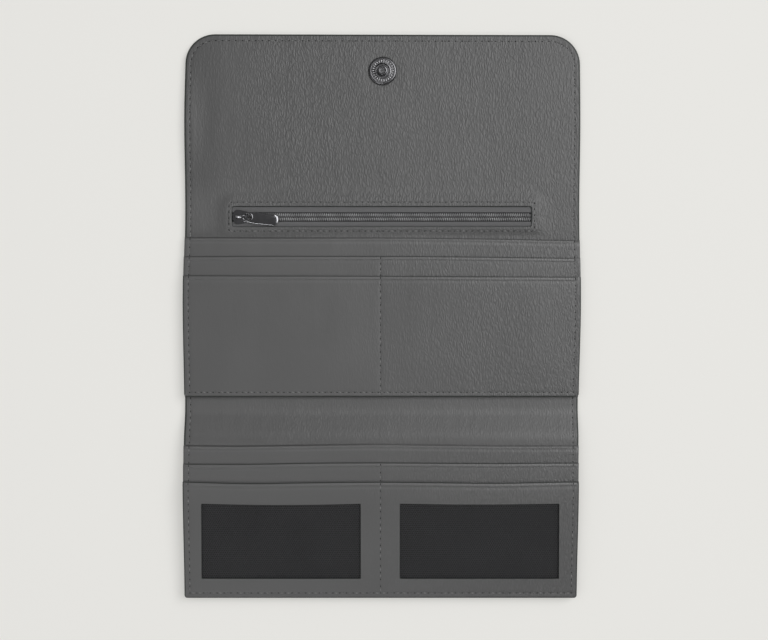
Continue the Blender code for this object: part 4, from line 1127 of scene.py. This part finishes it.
for spot, (carrier, runs, *slant) in stitchPlan.items():
    # beside each stitch, a dark bead of painted shade fills its needle hole
    for kind, material in (("thread", thread), ("needleHoleShades", needleHoleShade)):
        look = stitchLook[kind]
        lines = []
        for line, height, pitch in runs:
            at = spread(line, pitch, 0 if kind == "needleHoleShades" else pitch / 2)
            lift = -look["lift"] if height is onShell else look["lift"]
            lines.append((place(lay(at, height, lift)), False))
        piece = grow(kind + spot, polyCurve(kind, lines), stitchTree, {
            "Length": look["length"] * mm, "Radius": look["radius"] * mm, "Material": material,
            "Slant": math.radians(slant[0] if slant else 0), "Wobble": stitchLook["wobble"], "Seed": 11,
        })
        if carrier in folds:
            bend(piece, carrier)
        else:
            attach(piece, carrier)
print("stitches made")


# card window nets

netLook = {"pitch": 1.1, "strand": 0.34, "thickness": 0.22, "margin": 1.8, "wave": 0.12, "waveSize": 21.0}


def netTree():
    # three short yarns from each knot, a trifle long so that they meet, on rows staggered by half a mesh
    tree, given = newTree(
        "netYarns", Width=0.08, Height=0.04, Pitch=0.001, Strand=0.0003, Thickness=0.0002, Columns=60, Rows=30
    )
    arm = addNode(
        tree, "ShaderNodeMath", {0: given["Pitch"], 1: 1 / math.sqrt(3) + 0.01}, operation="MULTIPLY"
    ).outputs[0]
    half = addNode(tree, "ShaderNodeMath", {0: arm, 1: 0.5}, operation="MULTIPLY").outputs[0]
    size = addNode(tree, "ShaderNodeCombineXYZ", {0: arm, 1: given["Strand"], 2: given["Thickness"]})
    out = addNode(tree, "ShaderNodeCombineXYZ", {0: half}).outputs[0]
    bar = addNode(tree, "GeometryNodeMeshCube", {"Size": size.outputs[0]}).outputs[0]
    moved = addNode(tree, "GeometryNodeTransform", {0: bar, "Translation": out}).outputs[0]
    star = addNode(tree, "GeometryNodeJoinGeometry")
    for turn in (90, 210, 330):
        turned = {0: moved, "Rotation": Euler((0, 0, math.radians(turn)))}
        tree.links.new(addNode(tree, "GeometryNodeTransform", turned).outputs[0], star.inputs[0])
    grid = addNode(tree, "GeometryNodeMeshGrid", {
        "Size X": given["Width"], "Size Y": given["Height"],
        "Vertices X": given["Columns"], "Vertices Y": given["Rows"],
    }).outputs[0]
    index = addNode(tree, "GeometryNodeInputIndex").outputs[0]
    row = addNode(tree, "ShaderNodeMath", {0: index, 1: given["Rows"]}, operation="MODULO").outputs[0]
    odd = addNode(tree, "ShaderNodeMath", {0: row, 1: 2.0}, operation="MODULO").outputs[0]
    step = addNode(tree, "ShaderNodeMath", {0: given["Pitch"], 1: 0.5}, operation="MULTIPLY").outputs[0]
    slide = addNode(tree, "ShaderNodeMath", {0: odd, 1: step}, operation="MULTIPLY").outputs[0]
    aside = addNode(tree, "ShaderNodeCombineXYZ", {0: slide}).outputs[0]
    staggered = addNode(tree, "GeometryNodeSetPosition", {0: grid, "Offset": aside}).outputs[0]
    knots = {"Points": staggered, "Instance": star.outputs[0]}
    yarns = addNode(tree, "GeometryNodeInstanceOnPoints", knots).outputs[0]
    return closeTree(tree, given, yarns, soft=False)


yarnTree = netTree()
netRise = netLook["pitch"] * math.sqrt(3) / 2
for side, centre in windowAt.items():
    columns = int((cardWindow["width"] + 2 * netLook["margin"]) / netLook["pitch"])
    rows = int((cardWindow["height"] + 2 * netLook["margin"]) / netRise)
    empty = bpy.data.meshes.new("netSource")
    net = grow("cardNet" + side.capitalize(), empty, yarnTree, {
        "Width": (columns - 1) * netLook["pitch"] * mm, "Height": (rows - 1) * netRise * mm,
        **{key.capitalize(): netLook[key] * mm for key in ("pitch", "strand", "thickness")},
        "Columns": columns, "Rows": rows, "Material": netYarn,
    })
    local = np.array([v.co for v in net.data.vertices]) / mm
    local[:, 0] += centre[0]
    local[:, 1] += centre[1]
    local[:, 2] += (levels["net"][0] + levels["net"][1]) / 2
    local[:, 2] += netLook["wave"] * ripple(local[:, :2], netLook["waveSize"], 5.5)
    net.data.vertices.foreach_set("co", place(local).astype(np.float32).ravel())
    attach(net, "card_panel")
    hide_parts("mesh_" + side)
print("nets made")


# zip chain

def tubeFaces(rows, ring):
    # the sides between closed rings of vertices, and a cap at either end
    faces = []
    for i in range(0, (rows - 1) * ring, ring):
        for k in range(ring):
            n = (k + 1) % ring
            faces.append((i + k, i + n, i + ring + n, i + ring + k))
    last = (rows - 1) * ring
    return faces + [tuple(range(ring))[::-1], tuple(range(last, last + ring))]


def faceOut(data):
    mesh = bmesh.new()
    mesh.from_mesh(data)
    bmesh.ops.recalc_face_normals(mesh, faces=mesh.faces)
    mesh.to_mesh(data)
    mesh.free()
    return data


tapeLook = {
    "level": (2.875, 3.225), "across": (0.2, 0.9, 1.4, 1.9, 2.1, 2.35, 2.8, 3.4, 4.0),
    "tops": (-0.25, -0.25, -0.25, -0.25, -0.15, 0.0, 0.02, 0.0, -0.08, -0.2, -0.3), "shadowed": (2, 3, 4),
    "tuck": 0.04, "endGap": 0.05, "rows": 80, "wave": 0.03, "waveSize": 9,
}
chainY = (zipLow.y + zipHigh.y) / 2
chainLook = {
    "pitch": 1.06, "length": 2.08, "width": 0.74, "height": 1.15, "row": 1.06, "slant": 16.0, "level": 3.25,
    "ends": (1.2, 0.7),
}


def zipTape(name, sign):
    look = tapeLook
    under, level = look["level"]
    outer = windowHeight / 2 + sign * zipSize["up"] - look["tuck"]
    low = windowMiddle[0] - windowWidth / 2 + look["endGap"]
    high = windowMiddle[0] + windowWidth / 2 - look["endGap"]
    ys = (*look["across"], outer - 0.5, outer)
    xs = np.linspace(low, high, look["rows"])
    verts = []
    for x in xs:
        wave = look["wave"] * noise.noise(Vector((x / look["waveSize"], sign * 2.0, 1.0)))
        verts += [(x, chainY + sign * y, level + t + wave) for y, t in zip(ys, look["tops"])]
        verts += [(x, chainY + sign * y, under) for y in reversed(ys)]
    ring = 2 * len(ys)
    # painted shade: beside the teeth the tape takes the dark lining cloth
    shadowed = [k in look["shadowed"] for k in range(ring)]  # dark beside the teeth
    paintedShadeFaces = shadowed * (len(xs) - 1) + [False, False]
    tape = newPiece(name, place(verts), tubeFaces(len(xs), ring), [tapeCloth, liningCloth], paintedShadeFaces, sharp=60)
    faceOut(tape.data)
    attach(tape, "zip_strip")
    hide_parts("zip_tape_upper" if sign > 0 else "zip_tape_lower")


zipTape("zipTapeUpper", 1)
zipTape("zipTapeLower", -1)


def coilTree():
    # a slanted tooth at every pitch of the row
    tree, given = newTree("coilTeeth", Pitch=0.001, Size=(0.001, 0.001, 0.001), Slant=0.2)
    row = {"Curve": given["Geometry"], "Length": given["Pitch"]}
    spaced = addNode(tree, "GeometryNodeResampleCurve", row, mode="LENGTH").outputs[0]
    turn = addNode(tree, "ShaderNodeCombineXYZ", {"Z": given["Slant"]}).outputs[0]
    teeth = {"Points": spaced, "Instance": beadOf(tree, 10, 7, 0.5, given["Size"]), "Rotation": turn}
    return closeTree(tree, given, addNode(tree, "GeometryNodeInstanceOnPoints", teeth).outputs[0])


beads = coilTree()
for name, sign in (("coilUpper", 1), ("coilLower", -1)):
    pitch, (start, end) = chainLook["pitch"], chainLook["ends"]
    first = windowMiddle[0] - windowWidth / 2 + start + (0.5 + 0.25 * sign) * pitch
    last = windowMiddle[0] + windowWidth / 2 - end
    last = first + int((last - first) / pitch) * pitch
    y = chainY + sign * chainLook["row"]
    line = place([(first, y, chainLook["level"]), (last, y, chainLook["level"])])
    size = (chainLook["width"] * mm, chainLook["length"] * mm, chainLook["height"] * mm)
    coil = grow(name, polyCurve(name, [(line, False)]), beads, {
        "Pitch": pitch * mm * 0.9999, "Size": size,
        "Slant": math.radians(chainLook["slant"]) * -sign, "Material": coilNylon,
    })
    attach(coil, "zip_strip")
print("zip chain made")


# slider, puller and snap

hingeAt = joints["puller_hinge"]["pos_m"]
sliderMiddle = (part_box("zip_slider")[0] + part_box("zip_slider")[1]) / 2
sliderLook = {
    "length": 7.4, "nose": 3.5, "tail": 2.75, "floor": (1.8, 2.25), "roof": (3.85, 4.4), "bevel": 0.2,
    "crown": 0.42,
    "flange": {"from": -1.6, "to": 2.9, "out": (2.15, 2.6), "upper": 3.5, "lower": 2.7},
    "post": ((-3.1, -0.15), (-0.5, -0.12), (-0.2, 0), (-0.5, 0.12), (-3.1, 0.15)),
    "bridge": {"from": -3.0, "to": 2.85, "leg": 0.8, "top": 6.45, "square": 0.3},
    "section": (
        (-0.78, -0.2), (-0.74, -0.06), (-0.58, 0.04), (-0.46, 0.08), (0.34, 0.34), (0.44, 0.36), (0.56, 0.33),
        (0.7, 0.22), (0.76, 0.05), (0.76, -0.2), (0.6, -0.33), (-0.6, -0.33),
    ),
}


def bevelled(mesh, width, segments=2, angle=30, above=-math.inf):
    edges = [
        e for e in mesh.edges if len(e.link_faces) == 2 and e.calc_face_angle(0) > math.radians(angle)
        and min(v.co.z for v in e.verts) > above * mm
    ]
    bmesh.ops.bevel(
        mesh, geom=edges, offset=width * mm, segments=segments, profile=0.5, affect="EDGES",
        clamp_overlap=True,
    )


def ringAt(mesh, points, z):
    return [mesh.verts.new((x * mm, y * mm, z * mm)) for x, y in points]


def walls(mesh, rings):
    for a, b in zip(rings, rings[1:]):
        for i in range(len(a)):
            j = (i + 1) % len(a)
            mesh.faces.new((a[i], a[j], b[j], b[i]))


def prism(mesh, points, low, high):
    # an upright solid from an outline in mm
    bottom, top = ringAt(mesh, points, low), ringAt(mesh, points, high)
    mesh.faces.new(bottom[::-1])
    mesh.faces.new(top)
    walls(mesh, (bottom, top))


def sliderPlan():
    # wide nose with two lobes, narrow tail
    reach, nose, tail = sliderLook["length"] / 2, sliderLook["nose"], sliderLook["tail"]
    half = [(-reach, 0.9), (0.35 - reach, 2.1), (1.1 - reach, nose - 0.25), (2.0 - reach, nose)]
    half += [(-0.4, nose - 0.12), (reach - 1.2, tail), (reach - 0.3, tail - 0.25), (reach, tail - 0.9)]
    return [(x, -y) for x, y in half] + [(x, y) for x, y in reversed(half)]


def toData(name, mesh):
    data = bpy.data.meshes.new(name)
    mesh.to_mesh(data)
    mesh.free()
    return data


def join(mesh, part):
    holder = toData("part", part)
    mesh.from_mesh(holder)
    bpy.data.meshes.remove(holder)


def finishMetal(name, data, material, body, *nodes):
    data.materials.append(material)
    data.shade_smooth()
    data.set_sharp_from_angle(angle=math.radians(42))
    piece = addObject(name, data)
    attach(piece, body)
    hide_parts(*nodes)


def makeSlider():
    mesh = bmesh.new()
    plan = sliderPlan()
    floor, roof = sliderLook["floor"], sliderLook["roof"]
    prism(mesh, plan, *floor)
    prism(mesh, sliderLook["post"], floor[1] - 0.1, roof[0] + 0.1)
    bevelled(mesh, sliderLook["bevel"])
    crown = bmesh.new()
    prism(crown, plan, *roof)
    bevelled(crown, sliderLook["crown"], 4, 30, roof[1] - 0.05)
    join(mesh, crown)
    flange = sliderLook["flange"]
    for sign in (-1, 1):
        near, far = (sign * v for v in flange["out"])
        strip = [(flange["from"], near), (flange["to"], near), (flange["to"], far), (flange["from"], far)]
        prism(mesh, strip[::sign], flange["upper"], roof[0] + 0.1)
        prism(mesh, strip[::sign], floor[1] - 0.1, flange["lower"])
    bridge, section = sliderLook["bridge"], sliderLook["section"]
    low = roof[1] - 0.3
    middle, reach = (bridge["from"] + bridge["to"]) / 2, (bridge["to"] - bridge["from"] - bridge["leg"]) / 2
    rise = bridge["top"] - max(z for y, z in section) - low
    turns = np.linspace(0, math.pi, 25)
    path = np.column_stack((middle - reach * np.cos(turns), low + rise * np.sin(turns) ** bridge["square"]))
    path[-1][1] = low
    course = np.gradient(path, axis=0)
    course /= np.hypot(*course.T)[:, None]
    arch = bmesh.new()
    rows = []
    for (x, z), (goX, goZ) in zip(path, course):
        rows.append([arch.verts.new(((x - goZ * h) * mm, y * mm, (z + goX * h) * mm)) for y, h in section])
    walls(arch, rows)
    arch.faces.new(rows[0])
    arch.faces.new(rows[-1][::-1])
    bmesh.ops.recalc_face_normals(arch, faces=arch.faces)
    join(mesh, arch)
    bmesh.ops.recalc_face_normals(mesh, faces=mesh.faces)
    bmesh.ops.translate(mesh, vec=(sliderMiddle.x, sliderMiddle.y, 0), verts=mesh.verts)
    finishMetal("zipSlider", toData("zipSlider", mesh), blackNickel, "slider", "zip_slider")


pullerLook = {
    "bar": 0.8, "length": 17.9, "neck": 2.35, "body": 2.72, "eye": (4.0, 3.0), "eyeSquare": 0.7,
    "thickness": 0.85, "endBow": 0.9, "corner": 1.3, "skew": 6.0, "lean": 0.8803, "chamfer": (0.4, 0.14),
    "underside": (0.15, 0.15),
    "rim": {"out": 0.3, "half": 0.42, "rise": 0.17},
}


def insetLoop(loop, distance):
    loop = np.asarray(loop, float)
    before, after = loop - np.roll(loop, 1, 0), np.roll(loop, -1, 0) - loop
    normals = [np.column_stack((-d[:, 1], d[:, 0])) / np.hypot(*d.T)[:, None] for d in (before, after)]
    middle = normals[0] + normals[1]
    middle /= np.maximum((middle**2).sum(1)[:, None] / 2, 0.4)
    return loop + middle * distance


def fillBetween(mesh, outer, inner, up):
    # flat faces between a loop of vertices and the loop of the hole in it
    both = outer + inner
    points = [Vector((v.co.x / mm, v.co.y / mm)) for v in both]
    edges = [(i, (i + 1) % len(outer)) for i in range(len(outer))]
    edges += [(len(outer) + i, len(outer) + (i + 1) % len(inner)) for i in range(len(inner))]
    made = delaunay_2d_cdt(points, edges, [], 0, 1e-5)
    for tri in made[2]:
        centre = sum((made[0][i] for i in tri), Vector((0, 0))) / len(tri)
        spot = np.array([tuple(centre)])
        if inside(spot, points[:len(outer)])[0] and not inside(spot, points[len(outer):])[0]:
            face = [both[made[3][i][0]] for i in tri]
            mesh.faces.new(face if up else face[::-1])


def pullerPlan():
    # narrow at the eye, wider below it, with a bowed end
    look = pullerLook
    start, end = -look["bar"] / 2, look["length"] - look["bar"] / 2
    shoulder, neck, body = look["eye"][0] + 1.4, look["neck"], look["body"]
    last = end - look["endBow"] - look["corner"]
    line = [(start + 0.5, -neck), (shoulder * 0.6, -neck - 0.08), (shoulder + 0.6, -body + 0.05)]
    line += [(shoulder + 2.5, -body), (last, -body)]
    corner = look["corner"]
    for a in np.radians(np.linspace(-80, 0, 7)[1:-2]):
        line.append((last + corner * math.cos(a), corner - body + corner * math.sin(a)))
    line += [(end - look["endBow"] * (y / body) ** 2, y) for y in np.linspace(-body + 0.75, 0, 6)]
    return line + [(x, -y) for x, y in reversed(line[:-1])] + [(start, neck - 0.5), (start, -neck + 0.5)]


def powered(value, power):
    return math.copysign(abs(value) ** power, value)


def makePuller():
    look = pullerLook
    plan = pullerPlan()
    half, (eyeLength, eyeWidth), square = look["thickness"] / 2, look["eye"], look["eyeSquare"]
    eyeX = look["bar"] / 2 + eyeLength / 2
    hole = [
        (eyeX + eyeLength / 2 * powered(math.cos(a), square), eyeWidth / 2 * powered(math.sin(a), square))
        for a in np.linspace(0, 2 * math.pi, 25)[:-1]
    ]
    (underIn, underUp), (topIn, topDown) = look["underside"], look["chamfer"]
    levelled = ((underIn, -half), (0, underUp - half), (0, half - topDown), (topIn, half))
    mesh = bmesh.new()
    rings = [ringAt(mesh, insetLoop(plan, inset), z) for inset, z in levelled]
    eyeRings = [ringAt(mesh, hole, z) for z in (-half, half)]
    walls(mesh, rings)
    walls(mesh, eyeRings)
    fillBetween(mesh, rings[-1], eyeRings[1], True)
    fillBetween(mesh, rings[0], eyeRings[0], False)
    bmesh.ops.recalc_face_normals(mesh, faces=mesh.faces)
    rim = bmesh.new()
    rimRings = []
    for a in np.radians(np.arange(0, 360, 30)):
        out = look["rim"]["out"] + look["rim"]["half"] * math.cos(a)
        rimRings.append(ringAt(rim, insetLoop(hole, -out), half + look["rim"]["rise"] * math.sin(a)))
    walls(rim, rimRings + rimRings[:1])
    bmesh.ops.recalc_face_normals(rim, faces=rim.faces)
    join(mesh, rim)
    turn = Euler((0, math.radians(look["lean"]), -math.radians(look["skew"]))).to_matrix().to_4x4()
    bmesh.ops.transform(mesh, matrix=Matrix.Translation(hingeAt) @ turn, verts=mesh.verts)
    finishMetal("zipPuller", toData("zipPuller", mesh), blackNickel, "puller", "zip_puller")


makeSlider()
makePuller()


def lathe(name, profile, centre, body, node):
    verts = []
    for radius, h in profile:
        for a in np.arange(snapLook["steps"]) * 2 * math.pi / snapLook["steps"]:
            verts.append((centre[0] + radius * math.cos(a), centre[1] + radius * math.sin(a), h))
    data = bpy.data.meshes.new(name)
    data.from_pydata([tuple(v) for v in place(verts)], [], tubeFaces(len(profile), snapLook["steps"]))
    finishMetal(name, faceOut(data), snapNickel, body, node)


snapLook = {"ridges": 26, "ridge": (1.75, 0.5, 0.36), "ridgeAt": 4.85, "ridgeLevel": 3.97, "steps": 72}
rimDome = {"at": 5.95, "level": 2.83, "radius": 1.25, "turns": (56, 45, 35, 27, 20, 13, 6)}
nubDome = {"at": 1.72, "level": 4.98, "radius": 0.9, "turns": (48, 36, 26, 17, 8, 0, -10)}


def domeLine(dome):
    at, level, radius = dome["at"], dome["level"], dome["radius"]
    return [(at + radius * math.sin(a), level + radius * math.cos(a)) for a in np.radians(dome["turns"])]


# radius and height from the post's foot, over the rim and the groove's floor, to the nub and its dish
studProfile = (
    (1.7, 1.3), (1.7, 2.6), (6.3, 2.85), (snapRadius - 0.1, 3.0), (snapRadius, 3.2), *domeLine(rimDome),
    (5.95, 4.06), (5.93, 4.0), (5.92, 3.95), (5.88, 3.94), (5.7, 3.94), (4.1, 3.94), (3.95, 3.95),
    (3.78, 4.02), (3.65, 3.97), (3.53, 3.75), (3.51, 3.32), (3.49, 3.26), (3.42, 3.25), (3.3, 3.25),
    (2.65, 3.25), (2.52, 3.25), (2.47, 3.26), (2.46, 3.32), (2.45, 4.3), (2.42, 5.3), *domeLine(nubDome),
    (1.47, 5.78), (1.42, 5.6), (1.38, 5.42), (1.32, 5.38), (1.2, 5.38), (0.6, 5.38),
)


def ridgeTree():
    # a ring of ridges that point outwards
    tree, given = newTree("radialRidges", Count=36, Radius=0.005, Size=(0.001, 0.001, 0.001))
    circle = {"Vertices": given["Count"], "Radius": given["Radius"]}
    ring = addNode(tree, "GeometryNodeMeshCircle", circle).outputs[0]
    place3d = addNode(tree, "GeometryNodeInputPosition").outputs[0]
    turn = addNode(tree, "FunctionNodeAlignRotationToVector", {"Vector": place3d}, axis="X").outputs[0]
    put = {"Points": ring, "Instance": beadOf(tree, 8, 6, 0.5, given["Size"]), "Rotation": turn}
    return closeTree(tree, given, addNode(tree, "GeometryNodeInstanceOnPoints", put).outputs[0])


lathe("snapStud", studProfile, snapMiddle, "flap", "snap_male")
# the ridges take the lighter nickel of the painted highlight
ridges = grow("snapStudRidges", bpy.data.meshes.new("ridgeSource"), ridgeTree(), {
    "Count": snapLook["ridges"], "Radius": snapLook["ridgeAt"] * mm,
    "Size": tuple(v * mm for v in snapLook["ridge"]), "Material": ridgeHighlightNickel,
})
ridges.data.transform(Matrix.Translation(Vector((*snapMiddle, snapLook["ridgeLevel"])) * mm))
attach(ridges, "flap")

socketRadius = 6.2
socketLocal = (snapMiddle[0], cardFold - (zipFold - stripFold) + (snapMiddle[1] - flapFold))
socketProfile = (
    (1.7, 1.9), (1.7, -0.1), (socketRadius - 0.5, -0.05), (socketRadius, -0.3), (socketRadius, -1.75),
    (socketRadius - 0.12, -2.1), (socketRadius - 0.45, -2.38), (socketRadius - 1.0, -2.5), (4.3, -2.5),
    (4.1, -2.35), (3.5, -2.35), (3.3, -2.5), (3.05, -2.45), (2.85, -2.2), (2.8, -0.55), (0.4, -0.5),
)
lathe("snapSocket", socketProfile, socketLocal, "card_panel", "snap_female")
print("metal made")


# carried-over nodes

linings = ("middle_left", "middle_right", "card_left", "card_right")
for names, material in (
    ([*("card_lining_" + end for end in linings), "coin_bag", "coin_bag_throat"], liningCloth),
    (("stiffener_middle", "stiffener_card"), board),
    (("zip_stop_closed", "zip_stop_open", "snap_male_washer", "snap_female_washer"), blackNickel),
):
    for name in names:
        for slot in frame["nodes"][name].material_slots:
            slot.material = material


# floor, light and camera

stage = {"floor": "#ecebe7", "size": 3.0, "below": 0.2, "glow": 0.4, "sky": 0.17}
floorMesh = bpy.data.meshes.new("paperSweep")
reach = stage["size"] / 2
corners = [(x, y, 0) for x, y in ((-reach, -reach), (reach, -reach), (reach, reach), (-reach, reach))]
floorMesh.from_pydata(corners, [], [(0, 1, 2, 3)])
floorMesh.transform(Matrix.Translation((0, 0, -stage["below"] * mm)))
floor = addObject("paperSweep", floorMesh)
# matt paper: one even tone with no shine, lit a little of its own where the camera sees it
paper, paperTree, paperShader, _ = newMaterial("mattPaper", 0.9)
paperShader.inputs["Emission Color"].default_value = linear(stage["floor"])
rays = addNode(paperTree, "ShaderNodeLightPath").outputs
shown = addNode(
    paperTree, "ShaderNodeMath", {0: rays["Is Camera Ray"], 1: rays["Is Glossy Ray"]}, operation="ADD"
).outputs[0]
seen = {0: shown, 1: rays["Is Transmission Ray"]}
shown = addNode(paperTree, "ShaderNodeMath", seen, operation="ADD", use_clamp=True).outputs[0]
glow = addNode(paperTree, "ShaderNodeMath", {0: shown, 1: stage["glow"]}, operation="MULTIPLY").outputs[0]
ends = {0: glow, 6: linear(stage["floor"]), 7: linear("#000000")}
tint = addNode(paperTree, "ShaderNodeMix", ends, data_type="RGBA").outputs[2]
paperTree.links.new(tint, paperShader.inputs["Base Color"])
paperTree.links.new(glow, paperShader.inputs["Emission Strength"])
paperShader.inputs["Specular IOR Level"].default_value = 0.1
floorMesh.materials.append(paper)

world = bpy.data.worlds.new("studio")
world.use_nodes = True
scene.world = world
lightPlan = {
    "key": {"at": (1.05, 0.57, 1.85), "size": (1.5, 1.5), "share": 0.5, "seen": True},
    "top": {"at": (-0.45, 0.1, 1.5), "size": (1.2, 1.2), "share": 0.24, "seen": False},
    "fill": {"at": (-1.1, -0.5, 1.0), "size": (0.7, 0.7), "share": 0.02, "seen": True},
    "low": {"at": (-0.35, -0.95, 1.4), "size": (0.6, 0.3), "share": 0.09, "seen": True},
}
sky = world.node_tree.nodes["Background"]
sky.inputs["Color"].default_value = (1, 1, 1, 1)
sky.inputs["Strength"].default_value = stage["sky"]
for name, plan in lightPlan.items():
    lamp = bpy.data.lights.new(name, "AREA")
    lamp.shape = "RECTANGLE"
    lamp.size, lamp.size_y = plan["size"]
    far = Vector(plan["at"])
    # the share of white that the lamp gives a level surface at the middle
    lamp.energy = plan["share"] * math.pi**2 * far.length**3 / far.z
    holder = addObject(name, lamp)
    holder.location = far
    holder.rotation_euler = (-far).to_track_quat("-Z", "Y").to_euler()
    holder.visible_glossy = plan["seen"]  # the lamp beside the camera leaves no reflection

photo = {
    "width": 768, "height": 640, "pixel": 0.494 * mm, "middle": (381, 315.6), "distance": 0.70, "at": 0.004,
}
camera = bpy.data.cameras.new("camera")
camera.sensor_width = 36.0
camera.lens = camera.sensor_width * photo["distance"] / (photo["width"] * photo["pixel"])
eye = addObject("camera", camera)
eye.location = (
    (photo["width"] / 2 - photo["middle"][0]) * photo["pixel"],
    (photo["middle"][1] - photo["height"] / 2) * photo["pixel"], photo["distance"] + photo["at"],
)
camera.clip_start = 0.05
camera.clip_end = 10
scene.camera = eye
scene.view_settings.view_transform = "Standard"
print("stage made")
